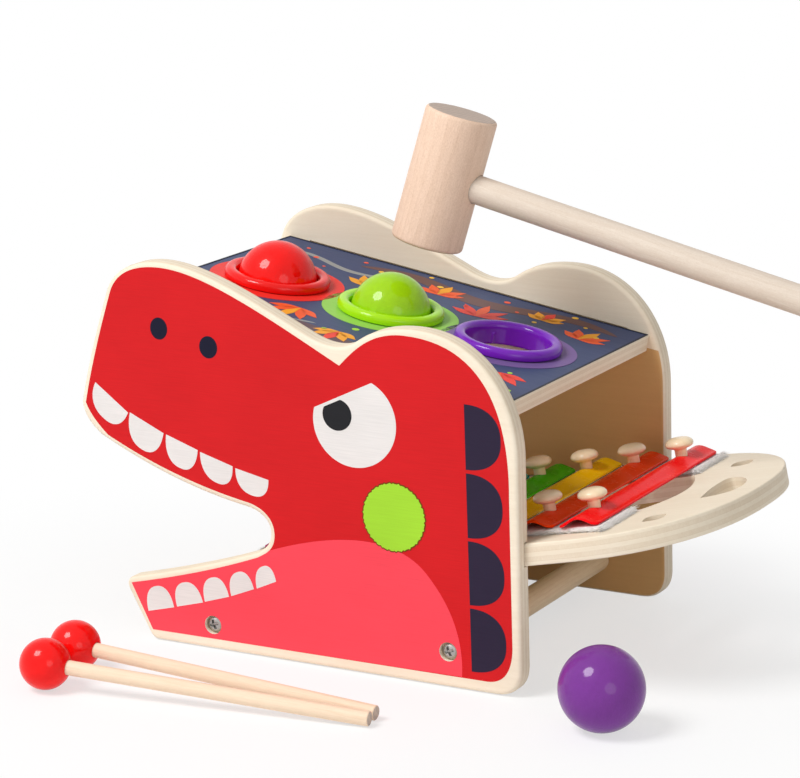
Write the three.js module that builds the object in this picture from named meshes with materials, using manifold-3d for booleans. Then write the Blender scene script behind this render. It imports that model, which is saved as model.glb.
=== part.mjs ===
// A wooden pound-and-tap bench for a small child: two side panels cut as an animal's head hold a sloping
// board with three ball rings, and a xylophone on a ramp that slides out at the tail. A hammer, two mallets
// and three balls go with it. Millimetres, X from snout to tail, Y from the near panel to the far one, Z up.
import * as THREE from 'three';
import { mergeVertices } from 'three/addons/utils/BufferGeometryUtils.js';
import Module from 'manifold-3d';

// Clearances
const TOUCH = 0.3; // between pieces that rest on or in each other
const RUN = 0.5; // between the xylophone board and its grooves

// Side panels
const PANEL = 12;
const PANEL_ROUND = 2.4; // rounded rim of the panel
const CLEAR_WIDTH = 182; // between the panels' inner faces
const MIDDLE = PANEL + CLEAR_WIDTH / 2; // Y of the middle plane
const FOOT = [113, PANEL / 2, 0]; // middle of the near panel's foot, the origin of the whole object

// Top board, with its rings
const TOP_LENGTH = 236.7;
const TOP_THICK = 10;
const TOP_SNOUT = [-11, 193.9]; // X and Z of its upper edge at the snout
const TOP_SLOPE = THREE.MathUtils.degToRad(9.24);
const TOP_GROOVE = 4; // depth of the stopped grooves that hold it
const TOP_GROOVE_STOP = 14; // how far its tongues end before its corners
const RING_MIDDLE = 0.495 * TOP_LENGTH; // along the board, with the other two rings at RING_PITCH from it
const RING_PITCH = 0.31 * TOP_LENGTH;
const BALL_RADIUS = 22.5;
const RING_BORE = BALL_RADIUS + 0.8;
const RING_TUBE = RING_BORE + 3;
const RING_FLANGE = 30.2;
const RING_RISE = 5.8;
const RING_DEPTH = 7; // of the tube, in the board's hole
const RIB_COUNT = 4;
const RIB_WIDTH = 2;

// Cross dowels and their screws
const DOWEL_RADIUS = 7.3;
const DOWELS = { front: [47.8, 13.8], rear: [192.2, 19.7] };
const SCREW_SHANK = 2;
const SCREW_LENGTH = 30;
const SCREW_HEAD = 4.3;
const SCREW_HEAD_RISE = 2.8;
const COUNTERBORE = 5.2;
const COUNTERBORE_DEPTH = 4;

// Xylophone: its board slides up a slope in grooves that open at the tail
const RAMP_AT = 232; // X, by the tail edges, from which places along the board are measured
const RAMP_HEIGHT = 82.4; // Z of the board's upper face there
const RAMP_SLOPE = THREE.MathUtils.degToRad(12.4);
const RAMP_THICK = 12;
const RAMP_GROOVE = 6;
const RAMP_HALF = CLEAR_WIDTH / 2 + RAMP_GROOVE - RUN;
const RAMP_SHOULDER = 19.3; // where the rounded end begins
const RAMP_TIP = 98.9;
const RAMP_TIP_POWER = 2.38; // of the superellipse that rounds the end
const KEY_COUNT = 8;
const KEY_FIRST = 26.9; // the longest key, along the board
const KEY_PITCH = 28;
const KEY_WIDTH = 23.4;
const KEY_HALF = 84;
const KEY_STEP = 3.44; // each key's half is shorter than the last by this
const KEY_SHEET = 1.5;
const KEY_ARCH = 4;
const KEY_CORNER = 4.5;
const FELT_THICK = 3;
const FELT_OUTER = KEY_HALF - 1; // felt's edges at the longest key, from the middle line
const FELT_INNER = FELT_OUTER / 2;
const FELT_PAST = 14; // felt beyond the middle of the first and last key
const LAST_KEY = KEY_FIRST - (KEY_COUNT - 1) * KEY_PITCH;
const FELT_ENDS = [LAST_KEY - FELT_PAST, KEY_FIRST + FELT_PAST];
const RAMP_LAND = 9.9; // board beyond the felts, at its lower end
const RAMP_INNER = FELT_ENDS[0] - RAMP_LAND;
const SOUND_HOLE_EDGE = 3.5; // between the felt and the sound hole
const SOUND_HOLE_BULGE = 11;
const PIN_FROM_END = 24.7; // of its key
const PIN_OFFSET = KEY_HALF - PIN_FROM_END; // at the longest key, from the middle line
const PIN_STEM = 3.4;
const PIN_HEAD = 8;
const PIN_HEAD_THICK = 6.5;
const PIN_DEPTH = 9; // into the board
const PIN_LIFT = 3.6; // head above the key's crest

// Hammer, held over the middle ring, with the head's middle at HAMMER_AT
const HAMMER_AT = [138.4, MIDDLE, 252.9];
const HAMMER_YAW = THREE.MathUtils.degToRad(4.1);
const HAMMER_DROP = THREE.MathUtils.degToRad(14.4);
const HAMMER_ROLL = THREE.MathUtils.degToRad(5.2);
const HAMMER_RADIUS = 20.3;
const HAMMER_HALF = 37.6;
const HAMMER_CHAMFER = 2.2;
const HANDLE_RADIUS = 8;
const HANDLE_END = 220; // from the head's axis
const HANDLE_START = -7;

// Mallets on the floor: X and Y of the head, and the direction of the stick
const MALLET_HEAD = 14;
const MALLET_STICK = 4;
const MALLET_REACH = 182.5; // from the head's middle to the stick's end
const MALLET_SOCKET = 6; // how near to the head's middle the stick ends
const MALLETS = {
  front: { at: [3.5, -97.9], turn: THREE.MathUtils.degToRad(8.1) },
  back: { at: [0.5, -64.8], turn: THREE.MathUtils.degToRad(0.6) },
};

const LOOSE_BALL = [292, -25.4];

const BARE_WOOD = { color: 0xe6cfa6, roughness: 0.62 };
const BALL_COLOURS = { red: 0xd8211c, green: 0x8fd01c, purple: 0x6f2a9c };
const KEY_COLOURS = {
  red: 0xd41420,
  orange: 0xe8501a,
  yellow: 0xe3ae12,
  green: 0x43a021,
  teal: 0x17a3a8,
  blue: 0x1f5fc0,
  purple: 0x6a35a5,
  pink: 0xe05a9a,
};

const wasm = await Module();
wasm.setup();

// The closed solid of a geometry, with shared corners merged and faces of no area dropped.
function solidOf(geometry) {
  const bare = new THREE.BufferGeometry();
  bare.setAttribute('position', geometry.getAttribute('position').clone());
  if (geometry.index) bare.setIndex(geometry.index.clone());
  const merged = mergeVertices(bare, 1e-4);
  const corners = merged.index.array;
  const triVerts = [];
  for (let i = 0; i < corners.length; i += 3) {
    const [a, b, c] = corners.subarray(i, i + 3);
    if (a !== b && b !== c && c !== a) triVerts.push(a, b, c);
  }
  const vertProperties = new Float32Array(merged.getAttribute('position').array);
  return new wasm.Manifold(new wasm.Mesh({ numProp: 3, vertProperties, triVerts: new Uint32Array(triVerts) }));
}

// The geometry of a solid.
function geometryOf(solid) {
  const { numProp, vertProperties, triVerts } = solid.getMesh();
  const corners = new THREE.InterleavedBuffer(vertProperties, numProp);
  const geometry = new THREE.BufferGeometry();
  geometry.setAttribute('position', new THREE.InterleavedBufferAttribute(corners, 3, 0));
  geometry.setIndex(new THREE.BufferAttribute(triVerts, 1));
  const plain = geometry.toNonIndexed();
  plain.computeVertexNormals();
  return plain;
}

// One geometry less the others, each of them a cutter.
function cut(geometry, cutters) {
  let solid = solidOf(geometry);
  for (const cutter of cutters) solid = solid.subtract(solidOf(cutter));
  return geometryOf(solid);
}

function mesh(name, geometry, look) {
  const piece = new THREE.Mesh(geometry, new THREE.MeshStandardMaterial({ metalness: 0, ...look }));
  piece.name = name;
  return piece;
}

// An upright round bar from z = bottom to z = top.
function bar(radius, bottom, top, sides) {
  return new THREE.CylinderGeometry(radius, radius, top - bottom, sides)
    .rotateX(Math.PI / 2)
    .translate(0, 0, (top + bottom) / 2);
}

// A flat plate of a shape in X and Y, from z = bottom to z = top.
function plate(shape, bottom, top, curveSegments) {
  const options = { depth: top - bottom, bevelEnabled: false, curveSegments };
  return new THREE.ExtrudeGeometry(shape, options).translate(0, 0, bottom);
}

// A turned piece, from its profile of radius and height.
function turned(profile, sides) {
  return new THREE.LatheGeometry(profile.map(([r, z]) => new THREE.Vector2(r, z)), sides).rotateX(Math.PI / 2);
}

// Outline of the side panels in X and Z: an animal's head with its mouth open to the left.
function headShape() {
  const head = new THREE.Shape();
  head.moveTo(12, 0);
  head.lineTo(219, 0);
  head.quadraticCurveTo(235.3, 0, 235.1, 16);
  head.lineTo(232.2, 128);
  head.bezierCurveTo(231.2, 162, 208, 191.6, 172, 191.6); // back of the head
  head.bezierCurveTo(159, 191.6, 148.5, 189.2, 139, 182.6); // brow
  head.quadraticCurveTo(126.9, 174, 109, 182); // dip before the brow
  head.bezierCurveTo(80, 195.2, 45, 213.9, 17.4, 213.9); // bridge of the snout
  head.bezierCurveTo(2, 213.9, -12.7, 207.5, -17.1, 194.2);
  head.quadraticCurveTo(-30, 155, -34.6, 131); // front of the snout
  head.quadraticCurveTo(-33.5, 121, -22, 113.2);
  head.bezierCurveTo(8, 98.4, 38, 88.5, 69, 83.7); // upper jaw
  head.bezierCurveTo(79, 82.2, 84.6, 77, 84.5, 70.2); // corner of the mouth
  head.bezierCurveTo(84.4, 64.5, 81, 60.7, 74, 58);
  head.bezierCurveTo(50, 49, 22, 40.8, -3.1, 34.6); // lower jaw
  head.quadraticCurveTo(-9.9, 32.9, -6.6, 26.6);
  head.lineTo(6.2, 3.8);
  head.quadraticCurveTo(8.2, 0, 12, 0);
  return head;
}

// A side panel, its outer face at y = outer and its inner face towards the middle plane.
function sidePanel(outer) {
  const inward = Math.sign(MIDDLE - outer);
  const inner = outer + inward * PANEL;
  const body = new THREE.ExtrudeGeometry(headShape(), {
    depth: PANEL - 2 * PANEL_ROUND,
    bevelThickness: PANEL_ROUND,
    bevelSize: PANEL_ROUND,
    bevelOffset: -PANEL_ROUND,
    bevelSegments: 2,
    curveSegments: 5,
  });
  body.rotateX(Math.PI / 2).translate(0, Math.max(outer, inner) - PANEL_ROUND, 0);

  const overcut = 1; // cutters pass the faces they open by this
  const groove = (length, height, depth) => new THREE.BoxGeometry(length, depth + overcut, height)
    .translate(0, inner - inward * (depth - overcut) / 2, 0);
  const tongue = TOP_LENGTH - 2 * TOP_GROOVE_STOP;
  const topGroove = groove(tongue + 2 * TOUCH, TOP_THICK + 2 * TOUCH, TOP_GROOVE)
    .translate(TOP_LENGTH / 2, 0, -TOP_THICK / 2)
    .rotateY(TOP_SLOPE)
    .translate(TOP_SNOUT[0], 0, TOP_SNOUT[1]);
  const rampStart = RAMP_INNER - RUN;
  const rampEnd = RAMP_SHOULDER;
  const rampGroove = groove(rampEnd - rampStart, RAMP_THICK + 2 * RUN, RAMP_GROOVE)
    .translate((rampStart + rampEnd) / 2, 0, -RAMP_THICK / 2)
    .rotateY(-RAMP_SLOPE)
    .translate(RAMP_AT, 0, RAMP_HEIGHT);
  const cutters = [topGroove, rampGroove];
  for (const [x, z] of Object.values(DOWELS)) {
    const hole = (radius, depth, sides) => new THREE.CylinderGeometry(radius, radius, depth + overcut, sides)
      .translate(x, outer + inward * (depth - overcut) / 2, z);
    cutters.push(hole(COUNTERBORE, COUNTERBORE_DEPTH, 16), hole(SCREW_SHANK + TOUCH, PANEL + overcut, 8));
  }
  return cut(body, cutters);
}

// The sloping board: tongues along both sides, and a hole for each ring. Its upper face is z = 0.
function topBoard(holes) {
  const half = CLEAR_WIDTH / 2 - TOUCH;
  const wide = CLEAR_WIDTH / 2 + TOP_GROOVE - TOUCH;
  const [from, to] = [TOP_GROOVE_STOP, TOP_LENGTH - TOP_GROOVE_STOP];
  const outline = [
    [0, -half], [from, -half], [from, -wide], [to, -wide], [to, -half], [TOP_LENGTH, -half],
    [TOP_LENGTH, half], [to, half], [to, wide], [from, wide], [from, half], [0, half],
  ];
  const shape = new THREE.Shape(outline.map(([x, y]) => new THREE.Vector2(x, y)));
  for (const x of holes) shape.holes.push(new THREE.Path().absarc(x, 0, RING_TUBE + TOUCH, 0, 2 * Math.PI, true));
  return plate(shape, -TOP_THICK, 0, 14);
}

// A plastic ring: a rolled flange on the board, a short tube in its hole, and ribs inside that hold a ball.
function ring() {
  const bottom = -RING_DEPTH;
  const profile = [
    [RING_BORE, bottom], [RING_TUBE, bottom], [RING_TUBE, TOUCH], [RING_FLANGE, TOUCH],
    [RING_FLANGE, 0.5 * RING_RISE], [RING_FLANGE - 1.3, 0.85 * RING_RISE], [(RING_FLANGE + RING_BORE) / 2, RING_RISE],
    [RING_BORE + 1.1, 0.85 * RING_RISE], [RING_BORE, 0.5 * RING_RISE], [RING_BORE, bottom],
  ];
  let solid = solidOf(turned(profile, 24));
  const ribTip = BALL_RADIUS + TOUCH;
  const ribDepth = RING_TUBE - 1 - ribTip;
  for (let i = 0; i < RIB_COUNT; i += 1) {
    const rib = new THREE.BoxGeometry(ribDepth, RIB_WIDTH, -bottom - 2)
      .translate(ribTip + ribDepth / 2, 0, bottom / 2)
      .rotateZ((i + 0.5) * 2 * Math.PI / RIB_COUNT);
    solid = solid.add(solidOf(rib));
  }
  return geometryOf(solid);
}

function ball() {
  return geometryOf(solidOf(new THREE.SphereGeometry(BALL_RADIUS, 18, 11)));
}

// A cross dowel along Y, with a pilot hole in each end for its screw.
function dowel() {
  const half = CLEAR_WIDTH / 2 - TOUCH;
  const depth = SCREW_LENGTH;
  const pilot = (side) => bar(SCREW_SHANK + TOUCH, half - depth, half + 1, 8).rotateX(-side * Math.PI / 2);
  return cut(bar(DOWEL_RADIUS, -half, half, 20).rotateX(Math.PI / 2), [pilot(1), pilot(-1)]);
}

// A cross-head screw along Z, its head's seat at z = 0 and its tip below.
function screw() {
  const profile = [
    [0, -SCREW_LENGTH], [SCREW_SHANK, 4 - SCREW_LENGTH], [SCREW_SHANK, 0], [SCREW_HEAD, 0],
    [SCREW_HEAD, 0.5 * SCREW_HEAD_RISE], [0.7 * SCREW_HEAD, 0.9 * SCREW_HEAD_RISE], [0, SCREW_HEAD_RISE],
  ];
  const slot = (turn) => new THREE.BoxGeometry(1.25 * SCREW_HEAD, 1.1, 3)
    .translate(0, 0, SCREW_HEAD_RISE)
    .rotateZ(turn);
  return cut(turned(profile, 10), [slot(0.4), slot(0.4 + Math.PI / 2)]);
}

// Half of the felt's and the sound hole's widths fall off with the keys' lengths along the board.
function taper(widest, along) {
  return widest - (KEY_FIRST - along) * KEY_STEP / KEY_PITCH;
}

// Cutters for the pins of one row, from `bottom` up through the felt and the keys.
function pinHoles(side, bottom) {
  const holes = [];
  for (let i = 0; i < KEY_COUNT; i += 1) {
    const hole = bar(PIN_STEM + TOUCH, bottom, FELT_THICK + KEY_ARCH + 6, 8);
    holes.push(hole.translate(KEY_FIRST - i * KEY_PITCH, side * (PIN_OFFSET - i * KEY_STEP), 0));
  }
  return holes;
}

// The xylophone's board. X runs up the slope, and the upper face is z = 0.
function xylophoneBoard() {
  const shape = new THREE.Shape();
  shape.moveTo(RAMP_INNER + 3, -RAMP_HALF);
  const steps = 26;
  for (let i = 0; i <= steps; i += 1) {
    const angle = Math.PI * (i / steps - 0.5);
    const [c, s] = [Math.cos(angle), Math.sin(angle)];
    const power = 2 / RAMP_TIP_POWER;
    const x = RAMP_SHOULDER + (RAMP_TIP - RAMP_SHOULDER) * Math.abs(c) ** power;
    shape.lineTo(x, RAMP_HALF * Math.sign(s) * Math.abs(s) ** power);
  }
  shape.lineTo(RAMP_INNER + 3, RAMP_HALF);
  shape.lineTo(RAMP_INNER, RAMP_HALF - 3);
  shape.lineTo(RAMP_INNER, 3 - RAMP_HALF);

  // Sound hole between the felts, with a curved end under the longest key
  const [low, high] = FELT_ENDS;
  const edge = (along) => taper(FELT_INNER, along) - SOUND_HOLE_EDGE;
  const sound = new THREE.Path();
  sound.moveTo(low + 6, -edge(low));
  sound.quadraticCurveTo(low, 0, low + 6, edge(low));
  sound.lineTo(high, edge(high));
  sound.quadraticCurveTo(high + 2 * SOUND_HOLE_BULGE, 0, high, -edge(high));
  sound.closePath();

  // Finger and ornament holes in the rounded end: a leaf on each side and a drop between them
  const leaf = (side) => {
    const path = new THREE.Path();
    path.moveTo(57.2, side * 62 - 7.6);
    path.quadraticCurveTo(70.5, side * 62 - 6.5, 64.6, side * 62 + 7.6);
    path.quadraticCurveTo(51.5, side * 62 + 6.5, 57.2, side * 62 - 7.6);
    return path;
  };
  const drop = new THREE.Path();
  drop.moveTo(70.6, -22.6);
  drop.bezierCurveTo(80, -19.5, 86.3, -13, 86, -1.5);
  drop.bezierCurveTo(85.6, 14, 78, 24.6, 71, 24.6);
  drop.bezierCurveTo(66.3, 24.6, 65.3, 8, 70.6, -22.6);
  shape.holes.push(sound, leaf(-1), leaf(1), drop);
  const cutters = [...pinHoles(-1, -PIN_DEPTH - TOUCH), ...pinHoles(1, -PIN_DEPTH - TOUCH)];
  return cut(plate(shape, -RAMP_THICK, 0, 6), cutters);
}

function felt(side) {
  const [low, high] = FELT_ENDS;
  const corners = [
    [low, taper(FELT_INNER, low)], [high, taper(FELT_INNER, high)],
    [high, taper(FELT_OUTER, high)], [low, taper(FELT_OUTER, low)],
  ];
  const shape = new THREE.Shape(corners.map(([x, y]) => new THREE.Vector2(x, side * y)));
  return cut(plate(shape, TOUCH, FELT_THICK, 1), pinHoles(side, -1));
}

// A tone plate across the board, pressed up along its middle, with round corners and a hole for each pin.
function key(number) {
  const half = KEY_HALF - number * KEY_STEP;
  const seat = FELT_THICK + TOUCH;
  const rise = (x) => KEY_ARCH * (0.5 + 0.5 * Math.cos(2 * Math.PI * x / KEY_WIDTH));
  const steps = 6;
  const profile = [];
  for (let i = 0; i <= steps; i += 1) {
    const x = KEY_WIDTH * (i / steps - 0.5);
    profile.push(new THREE.Vector2(x, seat + rise(x)));
  }
  for (let i = steps; i >= 0; i -= 1) {
    const x = KEY_WIDTH * (i / steps - 0.5);
    profile.push(new THREE.Vector2(x, seat + rise(x) + KEY_SHEET));
  }
  const sheet = plate(new THREE.Shape(profile), -half, half, 1).rotateX(Math.PI / 2);

  const [w, r] = [KEY_WIDTH / 2 + 0.01, KEY_CORNER];
  const plan = new THREE.Shape();
  plan.moveTo(-w, r - half);
  plan.quadraticCurveTo(-w, -half, r - w, -half);
  plan.lineTo(w - r, -half);
  plan.quadraticCurveTo(w, -half, w, r - half);
  plan.lineTo(w, half - r);
  plan.quadraticCurveTo(w, half, w - r, half);
  plan.lineTo(r - w, half);
  plan.quadraticCurveTo(-w, half, -w, half - r);
  let solid = solidOf(sheet).intersect(solidOf(plate(plan, 0, seat + KEY_ARCH + 2 * KEY_SHEET, 3)));
  for (const side of [-1, 1]) {
    const hole = bar(PIN_STEM + TOUCH, 0, seat + KEY_ARCH + 2 * KEY_SHEET, 10);
    solid = solid.subtract(solidOf(hole.translate(0, side * (PIN_OFFSET - number * KEY_STEP), 0)));
  }
  return geometryOf(solid);
}

// A wooden pin with a mushroom head, that keeps a key in its place.
function pin() {
  const under = FELT_THICK + TOUCH + KEY_ARCH + KEY_SHEET + PIN_LIFT;
  const at = (share) => under + share * PIN_HEAD_THICK;
  const profile = [
    [0, -PIN_DEPTH], [PIN_STEM, -PIN_DEPTH], [PIN_STEM, under], [0.8 * PIN_HEAD, at(0.06)],
    [PIN_HEAD, at(0.4)], [0.88 * PIN_HEAD, at(0.75)], [0.5 * PIN_HEAD, at(0.96)], [0, at(1)],
  ];
  return geometryOf(solidOf(turned(profile, 10)));
}

// The hammer's head along Z, bored from one side for the handle, which lies along X.
function hammerHead() {
  const [r, h, c] = [HAMMER_RADIUS, HAMMER_HALF, HAMMER_CHAMFER];
  const profile = [[0, -h], [r - c, -h], [r - 0.3 * c, 0.3 * c - h], [r, c - h]];
  const whole = [...profile, ...profile.map(([x, z]) => [x, -z]).reverse()];
  const bore = bar(HANDLE_RADIUS + TOUCH, HANDLE_START - TOUCH, r + 2, 20).rotateY(Math.PI / 2);
  return cut(turned(whole, 24), [bore]);
}

function hammerHandle() {
  const [r, c] = [HANDLE_RADIUS, 2];
  const profile = [[0, HANDLE_START], [r, HANDLE_START], [r, HANDLE_END - c], [r - 0.6, HANDLE_END - 0.6 * c],
    [r - c, HANDLE_END], [0, HANDLE_END]];
  return geometryOf(solidOf(turned(profile, 20).rotateY(Math.PI / 2)));
}

function malletHead() {
  const socket = bar(MALLET_STICK + TOUCH, MALLET_SOCKET - TOUCH, MALLET_HEAD + 2, 12).rotateY(Math.PI / 2);
  return cut(new THREE.SphereGeometry(MALLET_HEAD, 14, 9), [socket]);
}

function malletStick() {
  return geometryOf(solidOf(bar(MALLET_STICK, MALLET_SOCKET, MALLET_REACH, 12).rotateY(Math.PI / 2)));
}

const bench = new THREE.Group();
bench.position.set(-FOOT[0], -FOOT[1], -FOOT[2]);

const far = 2 * PANEL + CLEAR_WIDTH;
bench.add(mesh('near_side_panel', sidePanel(0), { color: 0xd0171c, roughness: 0.5 }));
bench.add(mesh('far_side_panel', sidePanel(far), { color: 0xd0171c, roughness: 0.5 }));

for (const [name, [x, z]] of Object.entries(DOWELS)) {
  const piece = mesh(`${name}_dowel`, dowel(), BARE_WOOD);
  piece.position.set(x, MIDDLE, z);
  bench.add(piece);
  for (const [side, outer] of [['near', 0], ['far', far]]) {
    const inward = Math.sign(MIDDLE - outer);
    const fixing = mesh(`screw_${side}_${name}`, screw(), { color: 0xb9b9b6, roughness: 0.3, metalness: 1 });
    fixing.position.set(x, outer + inward * (COUNTERBORE_DEPTH - TOUCH), z);
    fixing.rotation.x = inward * Math.PI / 2;
    bench.add(fixing);
  }
}

const top = new THREE.Group();
top.position.set(TOP_SNOUT[0], MIDDLE, TOP_SNOUT[1]);
top.rotation.y = TOP_SLOPE;
bench.add(top);
const ringPlaces = [-1, 0, 1].map((i) => RING_MIDDLE + i * RING_PITCH);
top.add(mesh('top_board', topBoard(ringPlaces), { color: 0x3c4464, roughness: 0.5 }));
Object.entries(BALL_COLOURS).forEach(([name, color], i) => {
  const grommet = mesh(`ring_${name}`, ring(), { color, roughness: 0.25 });
  grommet.position.x = ringPlaces[i];
  top.add(grommet);
  const piece = mesh(`ball_${name}`, ball(), { color, roughness: 0.3 });
  if (name === 'purple') {
    piece.position.set(LOOSE_BALL[0], LOOSE_BALL[1], BALL_RADIUS);
    bench.add(piece);
  } else {
    piece.position.x = ringPlaces[i];
    top.add(piece);
  }
});

const xylophone = new THREE.Group();
xylophone.position.set(RAMP_AT, MIDDLE, RAMP_HEIGHT);
xylophone.rotation.y = -RAMP_SLOPE;
bench.add(xylophone);
xylophone.add(mesh('xylophone_board', xylophoneBoard(), BARE_WOOD));
for (const [name, side] of [['near', -1], ['far', 1]]) {
  xylophone.add(mesh(`felt_${name}`, felt(side), { color: 0xe4e1de, roughness: 0.95 }));
  for (let i = 0; i < KEY_COUNT; i += 1) {
    const piece = mesh(`pin_${name}_${i + 1}`, pin(), { color: 0xeed3b0, roughness: 0.35 });
    piece.position.set(KEY_FIRST - i * KEY_PITCH, side * (PIN_OFFSET - i * KEY_STEP), 0);
    xylophone.add(piece);
  }
}
Object.entries(KEY_COLOURS).forEach(([name, color], i) => {
  const plateKey = mesh(`key_${i + 1}_${name}`, key(i), { color, roughness: 0.3, metalness: 0.2 });
  plateKey.position.x = KEY_FIRST - i * KEY_PITCH;
  xylophone.add(plateKey);
});

const hammer = new THREE.Group();
hammer.position.set(...HAMMER_AT);
hammer.rotation.set(-HAMMER_ROLL, HAMMER_DROP, HAMMER_YAW, 'ZYX');
hammer.add(mesh('hammer_head', hammerHead(), { color: 0xe0bf9b, roughness: 0.6 }));
hammer.add(mesh('hammer_handle', hammerHandle(), { color: 0xe9d8c4, roughness: 0.6 }));
bench.add(hammer);

// A mallet leans from its head down to the end of its stick, which lies on the floor.
const lean = Math.asin((MALLET_HEAD - MALLET_STICK) / MALLET_REACH);
for (const [name, { at, turn }] of Object.entries(MALLETS)) {
  const mallet = new THREE.Group();
  mallet.position.set(at[0], at[1], MALLET_HEAD);
  mallet.rotation.set(0, lean, turn, 'ZYX');
  mallet.add(mesh(`mallet_head_${name}`, malletHead(), { color: 0xcf1d1d, roughness: 0.3 }));
  mallet.add(mesh(`mallet_stick_${name}`, malletStick(), BARE_WOOD));
  bench.add(mallet);
}

const percussionBench = new THREE.Group();
percussionBench.add(bench);
export default percussionBench;
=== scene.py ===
import math

import bpy
import numpy as np
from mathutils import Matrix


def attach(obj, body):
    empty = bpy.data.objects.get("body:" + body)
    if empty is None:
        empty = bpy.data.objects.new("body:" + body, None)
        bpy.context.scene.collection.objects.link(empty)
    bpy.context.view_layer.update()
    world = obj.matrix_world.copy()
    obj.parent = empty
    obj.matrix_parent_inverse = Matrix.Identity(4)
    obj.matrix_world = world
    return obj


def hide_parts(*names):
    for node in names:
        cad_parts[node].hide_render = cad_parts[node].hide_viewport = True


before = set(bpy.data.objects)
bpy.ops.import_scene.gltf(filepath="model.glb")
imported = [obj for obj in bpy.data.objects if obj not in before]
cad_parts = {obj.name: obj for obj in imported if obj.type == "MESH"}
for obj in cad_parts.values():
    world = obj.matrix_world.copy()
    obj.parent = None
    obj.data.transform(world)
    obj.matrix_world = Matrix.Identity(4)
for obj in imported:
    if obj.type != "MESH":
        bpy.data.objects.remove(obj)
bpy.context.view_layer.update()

# The two side panels, sawn from seven-ply birch as an animal's head with an open mouth. Their rims are
# rounded over, the boards' grooves are cut in the inner faces, and a counterbored screw hole goes through
# by each dowel.
MM = 0.001
FOOT = np.array([113.0, 6.0, 0.0])  # the row frame's origin, in the bench's millimetres
PANEL = 12.0
WIDTH = 206.0  # over both panels
MIDDLE = WIDTH / 2
INSIDE = MIDDLE - PANEL  # half the room between the panels
SIDES = {"near": (0.0, 1.0), "far": (WIDTH, -1.0)}  # a panel's outer face, and the way inwards from it
PANEL_RIM = 2.4
INK_DEPTH = 0.35  # wood left off a printed face, which the ink fills
PAINTED_SHADE_BELOW = 8.0  # painted shade: the inner faces turn a deeper tan from so far under the top board's upper face
HEAD_START = (12, 0)
HEAD_RUNS = [
    [(219, 0)], [(235.3, 0), (235.1, 16)], [(232.2, 128)],
    [(231.2, 162), (208, 191.6), (172, 191.6)],  # back of the head
    [(159, 191.6), (148.5, 189.2), (139, 182.6)], [(126.9, 174), (109, 182)],  # brow, and the dip before it
    [(80, 195.2), (45, 213.9), (17.4, 213.9)], [(2, 213.9), (-12.7, 207.5), (-17.1, 194.2)],  # snout
    [(-30, 155), (-34.6, 131)], [(-33.5, 121), (-22, 113.2)],
    [(8, 98.4), (38, 88.5), (69, 83.7)], [(79, 82.2), (84.6, 77), (84.5, 70.2)],  # upper jaw, mouth's corner
    [(84.4, 64.5), (81, 60.7), (74, 58)], [(50, 49), (22, 40.8), (-3.1, 34.6)],  # lower jaw
    [(-9.9, 32.9), (-6.6, 26.6)], [(6.2, 3.8)], [(8.2, 0), (12, 0)],
]
DOWEL_PLACES = {"front": (47.8, 13.8), "rear": (192.2, 19.7)}
SCREW_HOLE = 2.3
SCREW_SINK = 5.2  # radius of the counterbore
SINK_FLOOR = 8.0  # its floor's height over the inner face
TOP_ORIGIN = np.array([-11.0, MIDDLE, 193.9])  # the top board's upper edge at the snout
TOP_SLOPE = 9.24  # degrees down to the tail
TOP_LENGTH = 236.7
TOP_THICK = 10.0
TOP_GROOVE = 4.0
TOP_GAP = 0.3
TONGUE_INSET = 14.0
RAMP_ORIGIN = np.array([232.0, MIDDLE, 82.4])
RAMP_SLOPE = -12.4
RAMP_THICK = 12.0
RAMP_GROOVE = 6.0
RAMP_GAP = 0.5
RAMP_INNER = -193.0  # its inner end, along it
RAMP_SHOULDER = 19.3  # where its grooves end and its rounded end starts


def drawn(start, runs, steps=24):
    """A closed outline of straight and Bezier runs. A run lists its control points after the last point,
    and its points are the sum over k of C(n, k) (1 - t)^(n - k) t^k P_k, for t from 0 to 1."""
    points = [np.array([start], float)]
    t = np.linspace(0, 1, steps + 1)[1:, None]
    for run in runs:
        control = np.vstack([points[-1][-1], run])
        n = len(control) - 1
        points.append(sum(math.comb(n, k) * (1 - t) ** (n - k) * t ** k * control[k] for k in range(n + 1)))
    return np.vstack(points)[:-1]


def evenly(outline, spacing):
    """The closed outline again, in points that lie a like distance apart along it."""
    closed = np.vstack([outline, outline[:1]])
    run = np.concatenate([[0], np.cumsum(np.linalg.norm(np.diff(closed, axis=0), axis=1))])
    at = np.linspace(0, run[-1], int(run[-1] / spacing), endpoint=False)
    return np.stack([np.interp(at, run, closed[:, 0]), np.interp(at, run, closed[:, 1])], axis=1)


def grid_faces(rows, columns):
    """Quads between the rows of a grid whose columns close on themselves."""
    i, k = np.meshgrid(np.arange(rows - 1) * columns, np.arange(columns), indexing="ij")
    after = (k + 1) % columns
    return np.stack([i + k, i + after, i + columns + after, i + columns + k], -1).reshape(-1, 4).tolist()


def capped(rows, columns):
    """The same quads, with a face across the first row and one across the last."""
    last = (rows - 1) * columns
    return grid_faces(rows, columns) + [list(range(columns))[::-1], list(range(last, last + columns))]


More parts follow.
